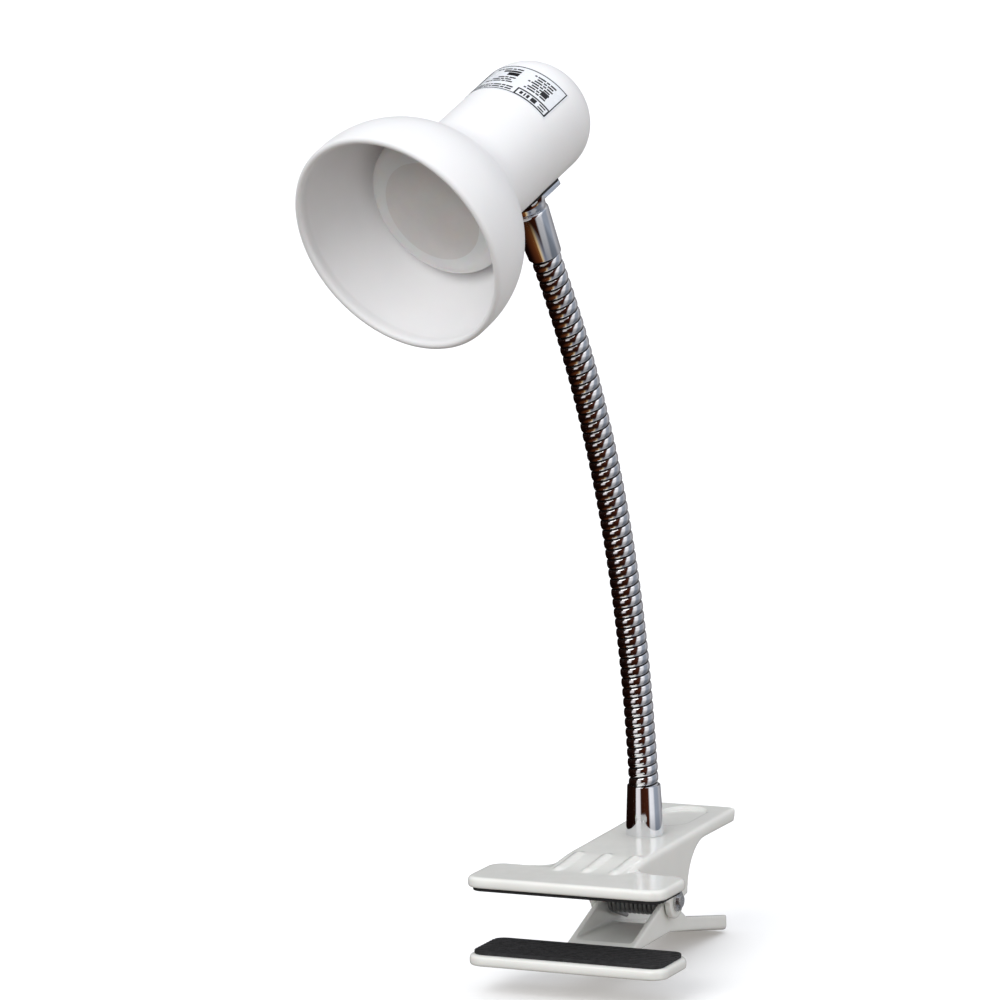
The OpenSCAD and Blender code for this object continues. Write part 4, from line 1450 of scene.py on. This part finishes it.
# ---------------------------------------------------------------- studio
@dataclass(frozen=True)
class Studio:
    """The camera, a plain pale floor and soft light."""

    azimuth: float = 24.4193
    elevation: float = 8.8313
    roll: float = 1.1759
    lens: float = 207.92
    place: tuple[float, float, float] = (0.7374, -1.6778, 0.4137)
    walls: Stops = (
        (0.0, (0.008, 0.003, 0.002)), (0.25, (0.010, 0.003, 0.002)), (0.437, (0.035, 0.009, 0.004)),
        (0.575, (0.065, 0.015, 0.006)), (0.60, (1.0, 1.0, 1.03)), (0.67, (0.90, 0.90, 0.94)),
        (0.70, (0.34, 0.38, 0.45)), (0.78, (0.33, 0.36, 0.42)), (0.82, (0.50, 0.50, 0.53)), (1.0, (0.10, 0.09, 0.09)))
    strip: Stops = (
        (0.335, (0, 0, 0)), (0.35, (0.92, 0.90, 0.92)), (0.42, (0.85, 0.83, 0.86)), (0.437, (0, 0, 0)))
    strip_height: Stops = ((0.32, (0, 0, 0)), (0.38, (1, 1, 1)), (0.60, (1, 1, 1)), (0.68, (0, 0, 0)))
    gloom: Stops = ((0.2, (0.42, 0.42, 0.42)), (0.36, (0.6, 0.6, 0.6)), (0.43, (1, 1, 1)))
    ceiling: Stops = ((0.7, (1, 1, 1)), (0.86, (1.5, 1.5, 1.5)))
    desk_edge: tuple[float, float] = (-0.62, -0.84)
    desk: Stops = (
        (0.0, (0.012, 0.005, 0.003)), (0.19, (0.03, 0.008, 0.004)), (0.36, (0.10, 0.027, 0.008)),
        (0.45, (0.19, 0.068, 0.018)), (0.485, (0.75, 0.55, 0.28)), (0.52, (0.50, 0.46, 0.42)),
        (0.56, (0.20, 0.22, 0.28)), (0.66, (0.28, 0.30, 0.36)), (0.71, (0.52, 0.52, 0.54)),
        (0.90, (0.56, 0.56, 0.58)), (1.0, (0.25, 0.25, 0.25)))
    soft: Stops = (
        (0.0, (0.62, 0.58, 0.54)), (0.42, (0.70, 0.67, 0.64)), (0.56, (0.86, 0.88, 0.92)), (1.0, (0.96, 0.97, 1.0)))
    shadow_side: tuple[float, float, float] = (-0.25, -0.80, -0.545)
    shadow: Stops = ((0.25, (1, 1, 1)), (0.78, (0.10, 0.085, 0.07)))

    def axes(self) -> tuple[Vector, Vector, Vector]:
        """Returns the camera's right, up and back directions."""
        a, e, r = (math.radians(v) for v in (self.azimuth, self.elevation, self.roll))
        back = Vector((math.sin(a) * math.cos(e), -math.cos(a) * math.cos(e), math.sin(e)))
        side = Vector((math.cos(a), math.sin(a), 0))
        up = back.cross(side)
        return math.cos(r) * side - math.sin(r) * up, math.sin(r) * side + math.cos(r) * up, back

    def camera(self) -> None:
        """Sets up the camera."""
        data = bpy.data.cameras.new("camera")
        data.lens = self.lens
        data.clip_end = 100
        obj = bpy.data.objects.new("camera", data)
        bpy.context.scene.collection.objects.link(obj)
        right, up, back = self.axes()
        turned = Matrix((right, up, back)).transposed().to_4x4()
        obj.matrix_world = Matrix.Translation(self.place) @ turned
        bpy.context.scene.camera = obj

    def floor(self) -> None:
        """Lays a wide, plain pale floor under the lamp."""
        deselect_all()
        bpy.ops.mesh.primitive_plane_add(size=60, location=(0, 0, CAD_BOX[0].z - 0.0005))
        obj = bpy.context.object
        obj.name = "floor"
        nodes = Finish("pale_floor")
        nodes.set(Base_Color=(0.93, 0.93, 0.93, 1), Roughness=0.9, Specular_IOR_Level=0.1,
                  Emission_Color=(1, 1, 1, 1), Emission_Strength=0.1)
        obj.data.materials.append(nodes.material)
        obj.visible_glossy = obj.visible_diffuse = False

    def sun(self, name: str, way: Point, power: float, spread: float, mirrored: bool = True) -> None:
        """Adds a broad, soft sun.

        Args:
            name: Its name.
            way: Its direction from the lamp: to the camera's right, up, and back to the camera.
            power: Its strength.
            spread: Its angle in degrees.
            mirrored: True if the chrome mirrors it.
        """
        data = bpy.data.lights.new(name, "SUN")
        data.energy, data.angle = power, math.radians(spread)
        obj = bpy.data.objects.new(name, data)
        obj.visible_glossy = mirrored
        bpy.context.scene.collection.objects.link(obj)
        right, _, back = self.axes()
        level = Vector((back.x, back.y, 0)).normalized()
        side = Vector((right.x, right.y, 0)).normalized()
        aim = (side * way[0] + Vector((0, 0, 1)) * way[1] + level * way[2]).normalized()
        obj.matrix_world = Matrix.Translation(aim * 2) @ aim.to_track_quat("Z", "Y").to_matrix().to_4x4()

    def mirrored_room(self, room: Nodes, where: Socket, height: Socket) -> Socket:
        """Hangs the dark and light walls, the window and the desk that the chrome mirrors.

        Args:
            room: The world's nodes.
            where: The direction looked in.
            height: How far up that is, from -1 to 1.

        Returns:
            The room's colour.
        """
        turned = room.add("ShaderNodeMapping", Vector=where, Rotation=(0, 0, math.radians(90 - self.azimuth)))
        gradient = room.add("ShaderNodeTexGradient", Vector=turned.outputs["Vector"])
        gradient.gradient_type = "RADIAL"
        # Round the room from behind the lamp, by the left, the camera and the right, to behind it.
        around = gradient.outputs["Fac"]
        level = room.span(height, -1, 1)
        window = room.mix("MULTIPLY", 1.0, room.ramp(around, self.strip), room.ramp(level, self.strip_height))
        walls = room.mix("ADD", 1.0, room.ramp(around, self.walls), window)
        walls = room.mix("MULTIPLY", 1.0, walls, room.ramp(level, self.gloom))
        colour = room.mix("MIX", room.span(height, *self.desk_edge), walls, room.ramp(around, self.desk))
        return room.mix("MULTIPLY", 1.0, colour, room.ramp(level, self.ceiling))

    def soft_room(self, room: Nodes, where: Socket, height: Socket) -> Socket:
        """Makes the soft light, darker on the side in shadow.

        Args:
            room: The world's nodes.
            where: The direction looked in.
            height: How far up that is, from -1 to 1.

        Returns:
            The light's colour.
        """
        face = room.add("ShaderNodeVectorMath")
        face.operation = "DOT_PRODUCT"
        room.plug(face.inputs[0], where)
        room.plug(face.inputs[1], self.shadow_side)
        shade = room.ramp(face.outputs["Value"], self.shadow)
        return room.mix("MULTIPLY", 1.0, room.ramp(room.span(height, -1, 1), self.soft), shade)

    def world(self) -> None:
        """Fills the room: soft light on the lamp, walls for the chrome to mirror, white behind."""
        world = bpy.data.worlds.new("studio")
        bpy.context.scene.world = world
        world.use_nodes = True
        world.node_tree.nodes.clear()
        room = Nodes(world.node_tree)
        where = room.add("ShaderNodeTexCoord").outputs["Generated"]
        height = room.add("ShaderNodeSeparateXYZ", Vector=where).outputs["Z"]
        rays = room.add("ShaderNodeLightPath").outputs
        shader = room.add("ShaderNodeBackground", Color=self.soft_room(room, where, height)).outputs["Background"]
        seen = ((rays["Is Glossy Ray"], self.mirrored_room(room, where, height)), (rays["Is Camera Ray"], (1, 1, 1, 1)))
        for ray, colour in seen:
            light = room.add("ShaderNodeBackground", Color=colour).outputs["Background"]
            blend = room.add("ShaderNodeMixShader", Fac=ray)
            room.plug(blend.inputs[1], shader)
            room.plug(blend.inputs[2], light)
            shader = blend.outputs["Shader"]
        room.add("ShaderNodeOutputWorld", Surface=shader)

    def build(self) -> None:
        """Sets up the studio."""
        self.camera()
        self.floor()
        self.world()
        self.sun("key", way=(-0.6, 0.9, 0.8), power=0.95, spread=40)
        self.sun("fill", way=(-0.5, 0.25, 1.0), power=1.1, spread=50, mirrored=False)
        bpy.context.scene.view_settings.view_transform = "Standard"


def main() -> None:
    """Builds the lamp and its studio."""
    logging.basicConfig(level=logging.INFO, format="%(name)s: %(message)s")
    layout, paint = Layout(), Palette()
    Studio().build()
    for assembly in (Clamp(layout, paint), Gooseneck(layout, paint), Head(layout, paint), SmallParts(paint)):
        assembly.build()
        LOG.info("%s done", type(assembly).__name__)


if __name__ == "__main__":
    main()
